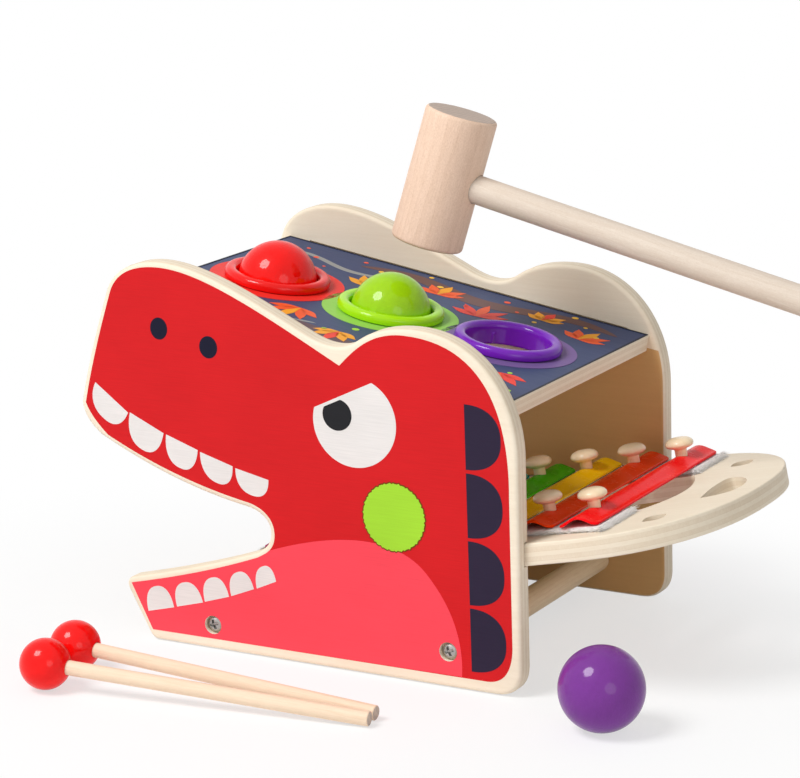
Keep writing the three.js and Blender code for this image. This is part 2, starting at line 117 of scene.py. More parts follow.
def slab(outline, low, high, rim):
    """A flat board with its faces at heights low and high. Its edge's profile, a quarter circle of the rim's
    radius at each face, is carried round the outline, and each point goes inwards along the mitre of its two
    edges: the sum of their normals over one plus the normals' product. Points are (u, v, height)."""
    edge = np.roll(outline, -1, axis=0) - outline
    normal = np.stack([-edge[:, 1], edge[:, 0]], axis=1) / np.linalg.norm(edge, axis=1)[:, None]
    before = np.roll(normal, 1, axis=0)
    mitre = (normal + before) / (1 + np.sum(normal * before, axis=1))[:, None]
    turn = np.linspace(0, np.pi / 2, 6)
    inset = np.concatenate([[rim * 1.25], rim * (1 - np.sin(turn))])
    height = low + np.concatenate([[0], rim * (1 - np.cos(turn))])
    inset = np.concatenate([inset, inset[::-1]])
    height = np.concatenate([height, low + high - height[::-1]])
    plan = outline + mitre * inset[:, None, None]
    points = np.concatenate([plan, np.broadcast_to(height[:, None, None], plan.shape[:2] + (1,))], axis=2)
    return points.reshape(-1, 3), capped(*plan.shape[:2])


def turned(profile, sides=96):
    """A turned solid. The profile of radius and height starts and ends on the axis, and each point of it
    goes round as (r cos a, r sin a, h)."""
    profile = np.asarray(profile, float)
    body = profile[1:-1]
    a = np.arange(sides) * 2 * np.pi / sides
    rings = np.stack([body[:, :1] * np.cos(a), body[:, :1] * np.sin(a), body[:, 1:] + 0 * a], axis=2)
    points = np.vstack([rings.reshape(-1, 3), [0, 0, profile[0, 1]], [0, 0, profile[-1, 1]]])
    k = np.arange(sides)
    after = (k + 1) % sides
    last = (len(body) - 1) * sides
    bottom = np.stack([after, k, 0 * k + len(body) * sides], axis=1)
    top = np.stack([last + k, last + after, 0 * k + len(body) * sides + 1], axis=1)
    return points, grid_faces(len(body), sides) + bottom.tolist() + top.tolist()


def spin(axis, degrees):
    """The matrix of a turn about one of the three axes."""
    c, s = math.cos(math.radians(degrees)), math.sin(math.radians(degrees))
    a, b = (axis + 1) % 3, (axis + 2) % 3
    matrix = np.eye(3)
    matrix[a, a], matrix[a, b], matrix[b, a], matrix[b, b] = c, -s, s, c
    return matrix


def shaped(name, solid, origin, axes):
    """An object with its place in its mesh: origin + u X + v Y + w Z, less the foot, in metres. Faces turn
    over where the axes are left-handed."""
    points, faces = solid
    if np.linalg.det(axes) < 0:
        faces = [face[::-1] for face in faces]
    mesh = bpy.data.meshes.new(name)
    mesh.from_pydata((origin + points @ np.asarray(axes, float) - FOOT) * MM, [], faces)
    made = bpy.data.objects.new(name, mesh)
    bpy.context.scene.collection.objects.link(made)
    return made


def smoothed(mesh):
    """Smooth faces, with edges of more than 32 degrees kept sharp."""
    mesh.shade_smooth()
    mesh.set_sharp_from_angle(angle=math.radians(32))


def put(name, solid, origin, axes, body, node=None):
    """A new piece. It rides on a body, and stands for a CAD node if one is named."""
    piece = shaped(name, solid, origin, axes)
    smoothed(piece.data)
    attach(piece, body)
    if node:
        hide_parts(node)
    return piece


def applied(piece, modifier):
    """Makes what a modifier does to a piece its own mesh."""
    before = piece.data
    after = bpy.data.meshes.new_from_object(piece.evaluated_get(bpy.context.evaluated_depsgraph_get()))
    piece.modifiers.remove(modifier)
    piece.data = after
    bpy.data.meshes.remove(before)
    after.name = piece.name
    smoothed(after)


def carve(piece, solid, origin, axes):
    """Takes a closed solid out of a piece."""
    cutter = shaped("cutter", solid, origin, axes)
    spent = cutter.data
    cut = piece.modifiers.new("cut", "BOOLEAN")
    cut.object = cutter
    cut.solver = "EXACT"
    applied(piece, cut)
    bpy.data.objects.remove(cutter)
    bpy.data.meshes.remove(spent)


class Wire:
    """An output of a shader node. Arithmetic on wires adds Math nodes, and node() adds any other node."""

    def __init__(self, tree, socket):
        self.tree = tree
        self.socket = socket

    def node(self, kind, settings, sockets, out=0):
        made = self.tree.nodes.new("ShaderNode" + kind)
        for name, value in settings.items():
            setattr(made, name, value)
        for key, value in sockets.items():
            if isinstance(value, Wire):
                self.tree.links.new(value.socket, made.inputs[key])
            else:
                made.inputs[key].default_value = value
        return Wire(self.tree, made.outputs[out])

    def math(self, operation, a, b=0.0):
        return self.node("Math", {"operation": operation}, {0: a, 1: b})

    def __add__(self, other):
        return self.math("ADD", self, other)

    def __sub__(self, other):
        return self.math("SUBTRACT", self, other)

    def __rsub__(self, other):
        return self.math("SUBTRACT", other, self)

    def __mul__(self, other):
        return self.math("MULTIPLY", self, other)

    def __truediv__(self, other):
        return self.math("DIVIDE", self, other)

    def __mod__(self, other):
        return self.math("FLOORED_MODULO", self, other)

    def __pow__(self, other):
        return self.math("POWER", self, other)

    def __lt__(self, other):
        return self.math("LESS_THAN", self, other)

    def __gt__(self, other):
        return self.math("GREATER_THAN", self, other)

    __radd__ = __add__
    __rmul__ = __mul__


def paint(red, green, blue):
    """A colour of 0 to 255 as it shows on a screen, in the linear light that shaders use."""
    share = np.array([red, green, blue]) / 255
    linear = np.where(share <= 0.04045, share / 12.92, ((share + 0.055) / 1.055) ** 2.4)
    return (*linear.tolist(), 1.0)


def finish(name, fixed):
    """A material, with what is the same all over set on its shader's own sockets, and the wire of the piece's
    Object coordinates."""
    material = bpy.data.materials.new(name)
    material.use_nodes = True
    nodes = material.node_tree.nodes
    for socket, value in fixed.items():
        nodes["Principled BSDF"].inputs[socket].default_value = value
    return material, Wire(material.node_tree, nodes.new("ShaderNodeTexCoord").outputs["Object"])


def dressed(material, colour, roughness, height, strength, depth):
    """The material, its shader fed with a colour, a roughness, and the normal of a surface raised by
    height times depth, in metres."""
    normal = height.node("Bump", {}, {"Height": height, "Strength": strength, "Distance": depth})
    shader = material.node_tree.nodes["Principled BSDF"]
    for socket, wire in {"Base Color": colour, "Roughness": roughness, "Normal": normal}.items():
        wire.tree.links.new(wire.socket, shader.inputs[socket])
    return material


def mixed(factor, first, second):
    """One colour at 0 and the other at 1."""
    return factor.node("Mix", {"data_type": "RGBA"}, {0: factor, 6: first, 7: second}, out=2)


def noise(place, stretch, detail=4.0, roughness=0.55):
    """Cloudy noise from 0 to 1, with its own number of spots to the place's unit along each axis."""
    spread = place.node("VectorMath", {"operation": "MULTIPLY"}, {0: place, 1: stretch})
    sockets = {"Vector": spread, "Scale": 1.0, "Detail": detail, "Roughness": roughness}
    return place.node("TexNoise", {}, sockets)


def along(place, origin, axes):
    """A place in a piece's own axes, in millimetres: the dot products of p - origin with them."""
    start = ((np.asarray(origin, float) - FOOT) * MM).tolist()
    rel = place.node("VectorMath", {"operation": "SUBTRACT"}, {0: place, 1: start})
    own = {}
    for letter, axis in zip("XYZ", (np.asarray(axes, float) / MM).tolist()):
        own[letter] = place.node("VectorMath", {"operation": "DOT_PRODUCT"}, {0: rel, 1: axis}, out="Value")
    return place.node("CombineXYZ", {}, own)


def part(vector, letter):
    """One of a vector's three numbers: X, Y or Z."""
    return vector.node("SeparateXYZ", {}, {0: vector}, out=letter)


def birch_ply(name, origin, axes, thick, plies=7, board=None):
    """Birch plywood. Its plies lie across the third axis, every second one shows darker end grain at an edge
    with a thin glue line beside it, and the face's grain runs along the first axis. Below a board whose
    origin and axes are given, the face at the origin is a deeper, warmer tan: painted shade inside the bench."""
    material, place = finish(name, {"Specular IOR Level": 0.2})
    own = along(place, origin, axes)
    depth = part(own, "Z")
    grain = noise(own, (0.02, 0.45, 0.45), detail=6)
    flecks = noise(own, (0.35, 2.6, 2.6), detail=3)
    cloud = noise(own, (0.012, 0.03, 0.03), detail=2)
    ply = (depth + 0.3) * (plies / (thick + 0.6))
    odd = (ply % 2.0) > 1.0
    glue = (ply % 1.0) < 0.09
    pores = noise(own, (1.6, 1.6, 0.5), detail=2)
    tone = grain * 0.24 + flecks * 0.16 + cloud * 0.34 - 0.26
    tone = tone + odd * (pores * 0.24 + 0.06) + glue * 0.14
    colour = mixed(tone, paint(245, 233, 212), paint(198, 168, 128))
    # Painted shade: inside the bench, the inner face under the top board is mixed to a deeper, warmer tan.
    if board:
        below = part(along(place, *board), "Z") < -PAINTED_SHADE_BELOW
        painted_shade = (depth < 0.4) * below
        colour = mixed(painted_shade, colour, mixed(tone, paint(216, 173, 118), paint(180, 134, 80)))
    relief = grain * 0.6 + flecks * 0.4 - odd * 0.25
    return dressed(material, colour, flecks * 0.2 + 0.46, relief, 0.25, 0.0003)


head = evenly(drawn(HEAD_START, HEAD_RUNS), 1.1)
TOP_AXES = spin(1, TOP_SLOPE).T
RAMP_AXES = spin(1, RAMP_SLOPE).T


def block(low, high):
    """A box between two corners."""
    corner = np.array([low, high], float)
    pick = np.array([(0, 0, 0), (1, 0, 0), (1, 1, 0), (0, 1, 0), (0, 0, 1), (1, 0, 1), (1, 1, 1), (0, 1, 1)])
    faces = [[3, 2, 1, 0], [4, 5, 6, 7], [0, 1, 5, 4], [1, 2, 6, 5], [2, 3, 7, 6], [3, 0, 4, 7]]
    return np.take_along_axis(corner, pick, axis=0), faces


def groove(inward, start, stop, thick, deep, room):
    """The room for a board's side in a panel's inner face, in the board's own axes."""
    across = sorted([-inward * (INSIDE - 1), -inward * (INSIDE + deep)])
    return block((start, across[0], -thick - room), (stop, across[1], room))


screw_hole = turned([
    (0, -1), (SCREW_HOLE, -1), (SCREW_HOLE, SINK_FLOOR), (SCREW_SINK, SINK_FLOOR), (SCREW_SINK, PANEL + 1),
    (0, PANEL + 1),
], 64)
top_run = TONGUE_INSET - TOP_GAP, TOP_LENGTH - TONGUE_INSET + TOP_GAP
ramp_run = RAMP_INNER - RAMP_GAP, RAMP_SHOULDER
PANEL_AXES = {}
for side, (outer, inward) in SIDES.items():
    axes = PANEL_AXES[side] = [(1, 0, 0), (0, 0, 1), (0, -inward, 0)]
    inner_face = (0, outer + inward * PANEL, 0)
    solid = slab(head, 0, PANEL - INK_DEPTH, PANEL_RIM)
    panel = put(f"{side}_panel", solid, inner_face, axes, "bench", f"{side}_side_panel")
    top_groove = groove(inward, *top_run, TOP_THICK, TOP_GROOVE, TOP_GAP)
    carve(panel, top_groove, TOP_ORIGIN, TOP_AXES)
    ramp_groove = groove(inward, *ramp_run, RAMP_THICK, RAMP_GROOVE, RAMP_GAP)
    carve(panel, ramp_groove, RAMP_ORIGIN, RAMP_AXES)
    for x, z in DOWEL_PLACES.values():
        carve(panel, screw_hole, (x, outer + inward * PANEL, z), axes)
    ply = birch_ply(f"birch_ply_{side}", inner_face, axes, PANEL, board=(TOP_ORIGIN, TOP_AXES))
    panel.data.materials.append(ply)

# The print on both panels' outer faces: flat screen inks, red over the whole head inside a bare margin, the
# lower jaw in pink, then teeth, eye, cheek spot, nostrils and the scales of the neck, each ink lying on the
# one before.
INK_LAYER = 0.08
RED = paint(206, 31, 35)
PINK = paint(244, 74, 88)
NAVY = paint(46, 38, 58)
NIGHT = paint(28, 28, 46)
WHITE = paint(225, 221, 218)
BLACK = paint(38, 38, 41)
LEAF_GREEN = paint(161, 215, 56)
RED_START = (-31.4, 131.1)
RED_RUNS = [
    [(-28, 123), (-17.4, 114.1)], [(8.5, 101.6), (38.5, 91.8), (69.5, 86.7)],  # along the upper jaw
    [(80.5, 85.2), (87.5, 78.7), (87.5, 70.2)], [(87.5, 63.6), (84.3, 59.9), (76.9, 56.2)],
    [(50, 45.5), (23, 37.6), (-4.5, 31)], [(8.8, 5.7)], [(215.3, 6.7)],  # lower jaw and foot
    [(229.3, 7.2), (229.7, 26.4)], [(227.4, 107.2)],
    [(227.4, 153), (212, 187.9), (166, 187.9)],  # back of the head
    [(149, 187.9), (138.5, 179.5), (128.2, 168)],
    [(79.5, 192.8), (43.5, 210.9), (17.4, 210.9)],  # snout
    [(0.5, 210.9), (-10.8, 205.5), (-14.3, 193.1)],
    [(-26.5, 156), (-31.4, 131.1)],
]
PINK_START = (84, 61)
PINK_RUNS = [
    [(82.4, 59.5)], [(76.9, 56.2)], [(50, 45.5), (23, 37.6), (-4.5, 31)], [(8.8, 5.7)], [(200.4, 7)],
    [(201.2, 25.5), (195.6, 44), (179, 61.2)], [(161.5, 79), (127.5, 77.2), (84, 61)],
]
UPPER_TEETH = [  # the two ends of a tooth's straight edge, and its tip
    [(-24.8, 143.1), (-4, 128.1), (-20.2, 123.4)], [(-2.8, 128.4), (18.6, 119), (4.4, 108.3)],
    [(20.2, 118.6), (40.2, 112), (28.4, 100.7)], [(41.6, 111.2), (62, 105.5), (51.8, 95.1)],
    [(63.7, 104.7), (84.2, 100.5), (73.9, 90.7)],
]
LOWER_TEETH = [
    [(22.9, 20.4), (6.2, 16), (11.5, 31.1)], [(41.6, 25.8), (24.9, 21.1), (29.6, 35.7)],
    [(58.3, 31.4), (42.9, 26.4), (47.5, 40.9)], [(74.1, 37.9), (59.8, 32), (63.8, 46.2)],
    [(88.1, 44.1), (76, 38.5), (79.7, 51.6)],
]
SCALE_SPANS = [(155.2, 120.3), (118.4, 83.7), (82, 47.3), (45.5, 10.9)]
SCALE_EDGE = 201.4  # the scales' straight edge, where the first one starts
SCALE_LEAN = 30.5  # the fall over which that edge goes back by one
SCALE_REACH = 20.6


def plug(radius, low, high, sides=64):
    """A plain cylinder between two heights."""
    return turned([(0, low), (radius, low), (radius, high), (0, high)], sides)


def moved(solid, *shift):
    """A solid shifted along its own axes."""
    return solid[0] + shift, solid[1]


def joined(*solids):
    """Several solids as one set of points and faces."""
    points, faces, first = [], [], 0
    for more_points, more_faces in solids:
        points.append(more_points)
        faces += [[first + i for i in face] for face in more_faces]
        first += len(more_points)
    return np.vstack(points), faces


def oval(middle, across, up, steps=72, swell=None):
    """A closed oval: middle + across cos t + up sin t in the face's two axes, its radius times one plus a
    swell."""
    t = np.linspace(0, 2 * np.pi, steps, endpoint=False)
    grow = 1.0 if swell is None else 1 + swell(t)
    return np.stack([middle[0] + across * grow * np.cos(t), middle[1] + up * grow * np.sin(t)], axis=1)


def below_line(outline, start, end):
    """The part of a convex outline on the right of a line: points past the line fall back square onto it."""
    way = np.subtract(end, start) / np.linalg.norm(np.subtract(end, start))
    out = np.array([-way[1], way[0]])
    past = np.clip((outline - start) @ out, 0, None)
    return outline - past[:, None] * out


def tooth(start, end, tip):
    """Half a full oval on a straight edge: middle + half |cos t|^0.85 + reach (sin t)^0.85, for t from 0 to
    pi."""
    start, end, tip = (np.array(p, float) for p in (start, end, tip))
    middle = (start + end) / 2
    t = np.linspace(0, np.pi, 30)[:, None]
    side = np.sign(np.cos(t)) * np.abs(np.cos(t)) ** 0.85
    return middle + side * (start - middle) + np.abs(np.sin(t)) ** 0.85 * (tip - middle)


def plate(outline, low, high):
    """A straight-sided plate of an outline, from height low to high."""
    heights = np.repeat([low, high], len(outline))
    return np.column_stack([np.vstack([outline, outline]), heights]), capped(2, len(outline))


def film(name, shapes, origin, axes, body, ink):
    """Ink on a flat face as one mesh: each shape is an outline, a colour and a level, and its film is a plate
    from the wood up to its level. The colour of each film is kept in the mesh's own colour attribute."""
    solids, colours = [], []
    for outline, colour, level in shapes:
        x, y = outline.T
        if np.sum(x * np.roll(y, -1) - np.roll(x, -1) * y) < 0:
            outline = outline[::-1]
        solids.append(plate(outline, 0.0, level * INK_LAYER))
        colours.append(np.broadcast_to(colour, (6 * len(outline), 4)))
    piece = put(name, joined(*solids), origin, axes, body)
    piece.data.shade_flat()
    piece.data.color_attributes.new("ink", "FLOAT_COLOR", "CORNER")
    piece.data.color_attributes["ink"].data.foreach_set("color", np.vstack(colours).ravel())
    piece.data.materials.append(ink)
    return piece


def screen_ink(name, origin, axes, sheen):
    """Satin ink in the mesh's own colours. The wood's grain shows through it as fine streaks, a little darker
    and a little raised, and the ink is thinner in places."""
    fixed = {"Specular IOR Level": 0.06, "Coat Roughness": 0.3, "Coat Weight": sheen}
    material, place = finish(name, fixed)
    ink = place.node("Attribute", {"attribute_name": "ink"}, {}, out="Color")
    own = along(place, origin, axes)
    streaks = noise(own, (0.05, 1.5, 0.1), detail=5)
    cloud = noise(own, (0.015, 0.02, 0.02), detail=3)
    thin = 1.02 - (streaks - 0.5) * 0.22 - (cloud - 0.5) * 0.2
    colour = ink.node("VectorMath", {"operation": "SCALE"}, {0: ink, "Scale": thin})
    return dressed(material, colour, streaks * 0.24 + 0.32, streaks, 0.12, 0.0002)


def rough_edge(t):
    """The spot's ragged edge: a sum of short waves round it."""
    return 0.012 * np.sin(41 * t) + 0.009 * np.sin(67 * t + 1.3) + 0.006 * np.sin(23 * t + 0.4)


face_print = [
    (oval((17, 177.3), 5.4, 6.1), NIGHT, 2),
    (oval((48.05, 170), 5.6, 6.1), NIGHT, 2),
    (below_line(oval((137, 138.3), 24.8, 24.6, 160), (112.6, 143.9), (148, 161.1)), WHITE, 2),
    (below_line(oval((126.7, 141.3), 8.7, 8.6), (118.6, 144.9), (130, 150.4)), BLACK, 3),
    (oval((160.3, 89.3), 18.9, 19.1, 240, rough_edge), paint(112, 62, 22), 3),
    (oval((160.3, 89.3), 18.2, 18.4, 240, rough_edge), LEAF_GREEN, 4),
]
for ends in UPPER_TEETH:
    face_print.append((tooth(*ends), WHITE, 2))
for ends in LOWER_TEETH:
    face_print.append((tooth(*ends), WHITE, 3))
for high, low in SCALE_SPANS:
    top, foot = (SCALE_EDGE + (SCALE_SPANS[0][0] - z) / SCALE_LEAN for z in (high, low))
    bulge = ((top + foot) / 2 + SCALE_REACH, (high + low) / 2)
    face_print.append((tooth((foot, low), (top, high), bulge), NAVY, 2))
ground = [(evenly(drawn(RED_START, RED_RUNS), 1.0), RED, 1)]
jaw = [(drawn(PINK_START, PINK_RUNS), PINK, 2)]
sinks = joined(*[moved(plug(SCREW_SINK, -1, 2), x, z, 0) for x, z in DOWEL_PLACES.values()])
for side, (outer, inward) in SIDES.items():
    at, axes = (0, outer + inward * INK_DEPTH, 0), PANEL_AXES[side]
    ink = screen_ink(f"ink_{side}", at, axes, 0.05)
    for name, shapes in (("ground", ground), ("jaw", jaw), ("features", face_print)):
        printed = film(f"{side}_print_{name}", shapes, at, axes, "bench", ink)
        if shapes is not face_print:
            carve(printed, sinks, at, axes)
            printed.data.shade_flat()

# Two birch dowels across the bench hold the panels apart, each drawn up by a cross-head wood screw from
# either side. The screws are zinc plated, and their heads lie sunk in the counterbores.
DOWEL_RADIUS = 7.3
DOWEL_HALF = INSIDE - 0.3
DOWEL_EASE = 0.6
DOWEL_AXES = np.array([(1, 0, 0), (0, 0, -1), (0, 1, 0)])
SCREW_HEAD = 4.3
SCREW_RISE = 2.8
SCREW_LENGTH = 30.0
SCREW_SEAT = 3.7  # the head's underside, from the panel's outer face
CROSS_TURN = 0.4  # radians
CROSS_HALF = 0.75  # half an arm's width
CROSS_ARM = 2.7
CROSS_DEPTH = 1.7


def stepped(profile, longest=5.0):
    """A profile with points added evenly along its straight runs, so that no step is longer."""
    profile = np.array(profile, float)
    counts = np.ceil(np.linalg.norm(np.diff(profile, axis=0), axis=1) / longest).astype(int)
    runs = [np.linspace(a, b, n, endpoint=False) for a, b, n in zip(profile[:-1], profile[1:], counts)]
    return np.vstack([*runs, profile[-1:]])


def rod(radius, low, high, low_ease, high_ease):
    """A plain round rod's profile, eased at the edges of its two ends."""
    return stepped([
        (0, low), (radius - low_ease, low), (radius, low + low_ease),
        (radius, high - high_ease), (radius - high_ease, high), (0, high),
    ])


def round_wood(name, origin, axes, pith, light, dark, ends, ring=2.6, gloss=0.55, coat=0.0, fuzz=0.1):
    """Solid wood turned along its third axis. Growth rings lie round a pith beside the piece: the distance
    from it over a ring's width, bent by noise, with the darker late wood at the end of each ring. Fine pores
    run lengthwise, a fuzz of raised fibres lies over all, and the grain is greyer where it is cut across,
    past the two ends' heights."""
    fixed = {"Specular IOR Level": 0.25, "Coat Weight": coat, "Coat Roughness": 0.15}
    material, place = finish(name, fixed)
    own = along(place, origin, axes)
    height = part(own, "Z")
    bend = noise(own, (0.05, 0.05, 0.008), detail=3)
    pores = noise(own, (2.4, 2.4, 0.09), detail=4)
    cloud = noise(own, (0.03, 0.03, 0.012), detail=2)
    beside = {0: own, 1: (1, 1, 0), 2: (-pith[0], -pith[1], 0)}
    away = own.node("VectorMath", {"operation": "MULTIPLY_ADD"}, beside)
    far = away.node("VectorMath", {"operation": "LENGTH"}, {0: away}, out="Value")
    late = ((far / ring + bend * 2.2) % 1.0) ** 2.5
    dashes = noise(own, (0.9, 0.9, 0.16), detail=3)
    fibres = noise(own, (1.7, 1.7, 0.9), detail=4, roughness=0.7) - 0.5
    across = (height < ends[0]) + (height > ends[1])
    tone = late * 0.16 + pores * 0.5 + dashes * 0.3 + cloud * 0.35 + fibres * (2 * fuzz) - 0.4
    grey = tuple(0.2 * c + 0.17 * sum(dark[:3]) for c in dark[:3]) + (1.0,)
    colour = mixed(across * (late * 0.3 + 0.6), mixed(tone, light, dark), grey)
    relief = pores * 0.7 + late * 0.3 + fibres * (6 * fuzz)
    return dressed(material, colour, pores * 0.2 + (gloss - 0.1), relief, 0.22, 0.0003)


def steel(name):
    """Bright zinc plate, finely brushed, duller where it is handled."""
    material, place = finish(name, {"Metallic": 1.0})
    scuffs = noise(place, (900, 900, 4200), detail=3)
    cloud = noise(place, (160, 160, 160), detail=2)
    colour = mixed(cloud, paint(206, 205, 202), paint(150, 148, 145))
    return dressed(material, colour, scuffs * 0.22 + 0.22, scuffs, 0.12, 0.0001)


def wood_screw():
    """A round-headed screw. Its head rises as 1 - 0.5 (r / R)^2.6, and the cross is sunk in it: two crossed
    arms whose depth falls off at their sides and ends. The shank below is turned to a point."""
    point = [(0.0, -SCREW_LENGTH), (1.2, 1.5 - SCREW_LENGTH), (2.0, 4.0 - SCREW_LENGTH)]
    neck = [(2.0, 0.0), (4.0, 0.0), (SCREW_HEAD, 0.25)]
    r = np.linspace(SCREW_HEAD, 0.06, 44)
    dome = np.stack([r, SCREW_RISE * (1 - 0.5 * (r / SCREW_HEAD) ** 2.6)], axis=1)
    points, faces = turned(np.vstack([point, neck, dome, [(0, SCREW_RISE)]]), 120)
    a = np.abs(points[:, 0] * math.cos(CROSS_TURN) + points[:, 1] * math.sin(CROSS_TURN))
    b = np.abs(points[:, 1] * math.cos(CROSS_TURN) - points[:, 0] * math.sin(CROSS_TURN))
    sunk = np.zeros(len(points))
    for lengthwise, across in ((a, b), (b, a)):
        arm = np.clip((CROSS_HALF - across) / 0.25, 0, 1) * np.clip((CROSS_ARM - lengthwise) / 0.5, 0, 1)
        sunk = np.maximum(sunk, arm)
    points[:, 2] -= np.where(points[:, 2] > 0.4 * SCREW_RISE, CROSS_DEPTH * sunk, 0)
    return points, faces


screw_steel = steel("zinc_plate")
pilot = plug(SCREW_HOLE, DOWEL_HALF - SCREW_LENGTH, DOWEL_HALF + 1, 32)
for name, (x, z) in DOWEL_PLACES.items():
    at = (x, MIDDLE, z)
    solid = turned(rod(DOWEL_RADIUS, -DOWEL_HALF, DOWEL_HALF, DOWEL_EASE, DOWEL_EASE))
    dowel = put(f"{name}_cross_dowel", solid, at, DOWEL_AXES, "bench", f"{name}_dowel")
    for end in (1, -1):
        carve(dowel, pilot, at, DOWEL_AXES * [[1], [end], [end]])
    dowel.data.materials.append(round_wood(
        f"birch_{name}_dowel", at, DOWEL_AXES, (14, 9), paint(246, 226, 192), paint(204, 166, 122),
        (0.1 - DOWEL_HALF, DOWEL_HALF - 0.1),
    ))
    for side, (outer, inward) in SIDES.items():
        seat = (x, outer + inward * SCREW_SEAT, z)
        axes = [(1, 0, 0), (0, 0, inward), (0, -inward, 0)]
        screw = put(f"{side}_{name}_screw", wood_screw(), seat, axes, "bench", f"screw_{side}_{name}")
        screw.data.materials.append(screw_steel)

# The top board, a flat ply shelf that slopes down to the tail. Short tongues along its sides sit in the
# panels' grooves, and three holes take the ball rings. Its upper face is printed in several inks on a navy
# ground, and a dark strip of painted shade lies along each side, where the board meets a panel.
RING_PLACES = [0.495 * TOP_LENGTH + i * 0.31 * TOP_LENGTH for i in (-1, 0, 1)]
RING_HOLE = 26.6
DISC = 38.6
BOARD_NAVY = paint(56, 68, 104)
SPRAY_COLOURS = [paint(244, 92, 40), paint(246, 164, 36), paint(238, 62, 44), paint(150, 150, 148)]
PRINT_END = 0.5  # bare wood at the board's ends
PRINT_SIDE = 0.2
SHADE_AND_BORDER_WIDTH = 1.5
DOT_COUNT = 34

reach, tongue = INSIDE - TOP_GAP, INSIDE + TOP_GROOVE - TOP_GAP
start, stop = TONGUE_INSET, TOP_LENGTH - TONGUE_INSET
top_outline = np.array([
    (0, -reach), (start, -reach), (start, -tongue), (stop, -tongue), (stop, -reach), (TOP_LENGTH, -reach),
    (TOP_LENGTH, reach), (stop, reach), (stop, tongue), (start, tongue), (start, reach), (0, reach),
])
solid = slab(top_outline, -TOP_THICK, -INK_DEPTH, 0.5)
shelf = put("ball_shelf", solid, TOP_ORIGIN, TOP_AXES, "bench", "top_board")
for s in RING_PLACES:
    carve(shelf, plug(RING_HOLE, -12, 2, 120), TOP_ORIGIN + s * TOP_AXES[0], TOP_AXES)
SHELF_BASE = TOP_ORIGIN - TOP_THICK * TOP_AXES[2]
shelf.data.materials.append(birch_ply("birch_ply_shelf", SHELF_BASE, TOP_AXES, TOP_THICK, plies=5))


def half_round(s, radius, side):
    """Half a circle about a ring's place: (s + R cos t, R sin t to the side), for t from 0 to pi."""
    t = np.linspace(0, np.pi, 49)
    return np.stack([s + radius * np.cos(t), side * radius * np.sin(t)], axis=1)


def half_ground(side):
    """Half of the board's face, with a half circle left out at each ring."""
    low, high, edge = PRINT_END, TOP_LENGTH - PRINT_END, side * (reach - PRINT_SIDE)
    rings = [half_round(s, RING_HOLE, side)[::-1] for s in RING_PLACES]
    return np.vstack(rings + [[(high, 0), (high, edge), (low, edge), (low, 0)]])


def half_disc(s, side):
    """Half of the coloured disc round a ring."""
    return np.vstack([half_round(s, DISC, side), half_round(s, RING_HOLE, side)[::-1]])


def band(x, middle, half):
    """A closed outline about a line: middle + half along x, and back along middle - half."""
    return np.vstack([np.stack([x, middle + half], axis=1), np.stack([x, middle - half], axis=1)[-2:0:-1]])


def leaf(root, heading, length, width):
    """A leaf from its root: half its width is w sin(pi x)^1.2 at the share x of its length."""
    x = np.linspace(0, 1, 15)
    own = band(x * length, 0, width / 2 * np.sin(np.pi * x) ** 1.2)
    c, s = math.cos(heading), math.sin(heading)
    return np.array(root) + own @ np.array([(c, s), (-s, c)])


def ribbon(start, stop, base, swing, waves, width):
    """A wavy band along the board: base + swing sin(waves), narrowing to nothing at both ends."""
    x = np.linspace(0, 1, 61)
    middle = base + swing * np.sin(2 * np.pi * waves * x)
    return band(start + (stop - start) * x, middle, width / 2 * np.sin(np.pi * x) ** 0.5)


def bar(s, v):
    """A rectangle between two places along the board and two across it."""
    return np.array([(s[0], v[0]), (s[1], v[0]), (s[1], v[1]), (s[0], v[1])])


top_print = []
for side in (-1, 1):
    top_print.append((half_ground(side), BOARD_NAVY, 1))
for side, colour in ((1, paint(104, 70, 66)), (-1, paint(92, 66, 74))):
    top_print.append((ribbon(60, 226, side * 70, 7, 1.5, 15), colour, 2))
for side in (1, -1):
    top_print.append((ribbon(4, 100, side * 60, 6, 1.2, 5), SPRAY_COLOURS[3], 2))
SPRAYS = [  # root, heading in degrees, length, colour
    ((82, 34), 84, 25, 1), ((80, -36), -96, 25, 0), ((153, 36), 98, 26, 2), ((155, -35), -80, 24, 0),
    ((19, 50), 118, 20, 0), ((19, -50), -112, 20, 1), ((212, 46), 78, 22, 0), ((210, -48), -76, 24, 2),
    ((118, 56), 92, 22, 0), ((116, -57), -88, 20, 1), ((182, 62), 88, 18, 1), ((180, -62), -90, 18, 0),
]
for root, heading, length, first in SPRAYS:
    for k, (spread, share) in enumerate(((-64, 0.72), (-34, 0.9), (0, 1.0), (34, 0.9), (64, 0.72))):
        colour = SPRAY_COLOURS[(first + (k == 2)) % 3]
        top_print.append((leaf(root, math.radians(heading + spread), share * length, 6.2), colour, 3))
DOTS = paint(250, 196, 66), paint(170, 216, 70), paint(244, 92, 60), paint(170, 150, 205)
for k in range(DOT_COUNT):
    s, v = 6 + 225 * ((k * 0.618034) % 1), 44 + 42 * ((k * 0.414214) % 1)
    size = 1.0 + 1.2 * ((k * 0.7) % 1)
    top_print.append((oval((s, v * (-1) ** k), size, size, 28), DOTS[k % 4], 3))
# Painted shade: this dark ink along both sides stands for the shadowed gaps at the panels, and it also runs
# across both ends as a printed edge line.
SHADE_AND_BORDER_INK = paint(26, 28, 44)
outside = reach - PRINT_SIDE
shade_and_border_edge = outside - SHADE_AND_BORDER_WIDTH
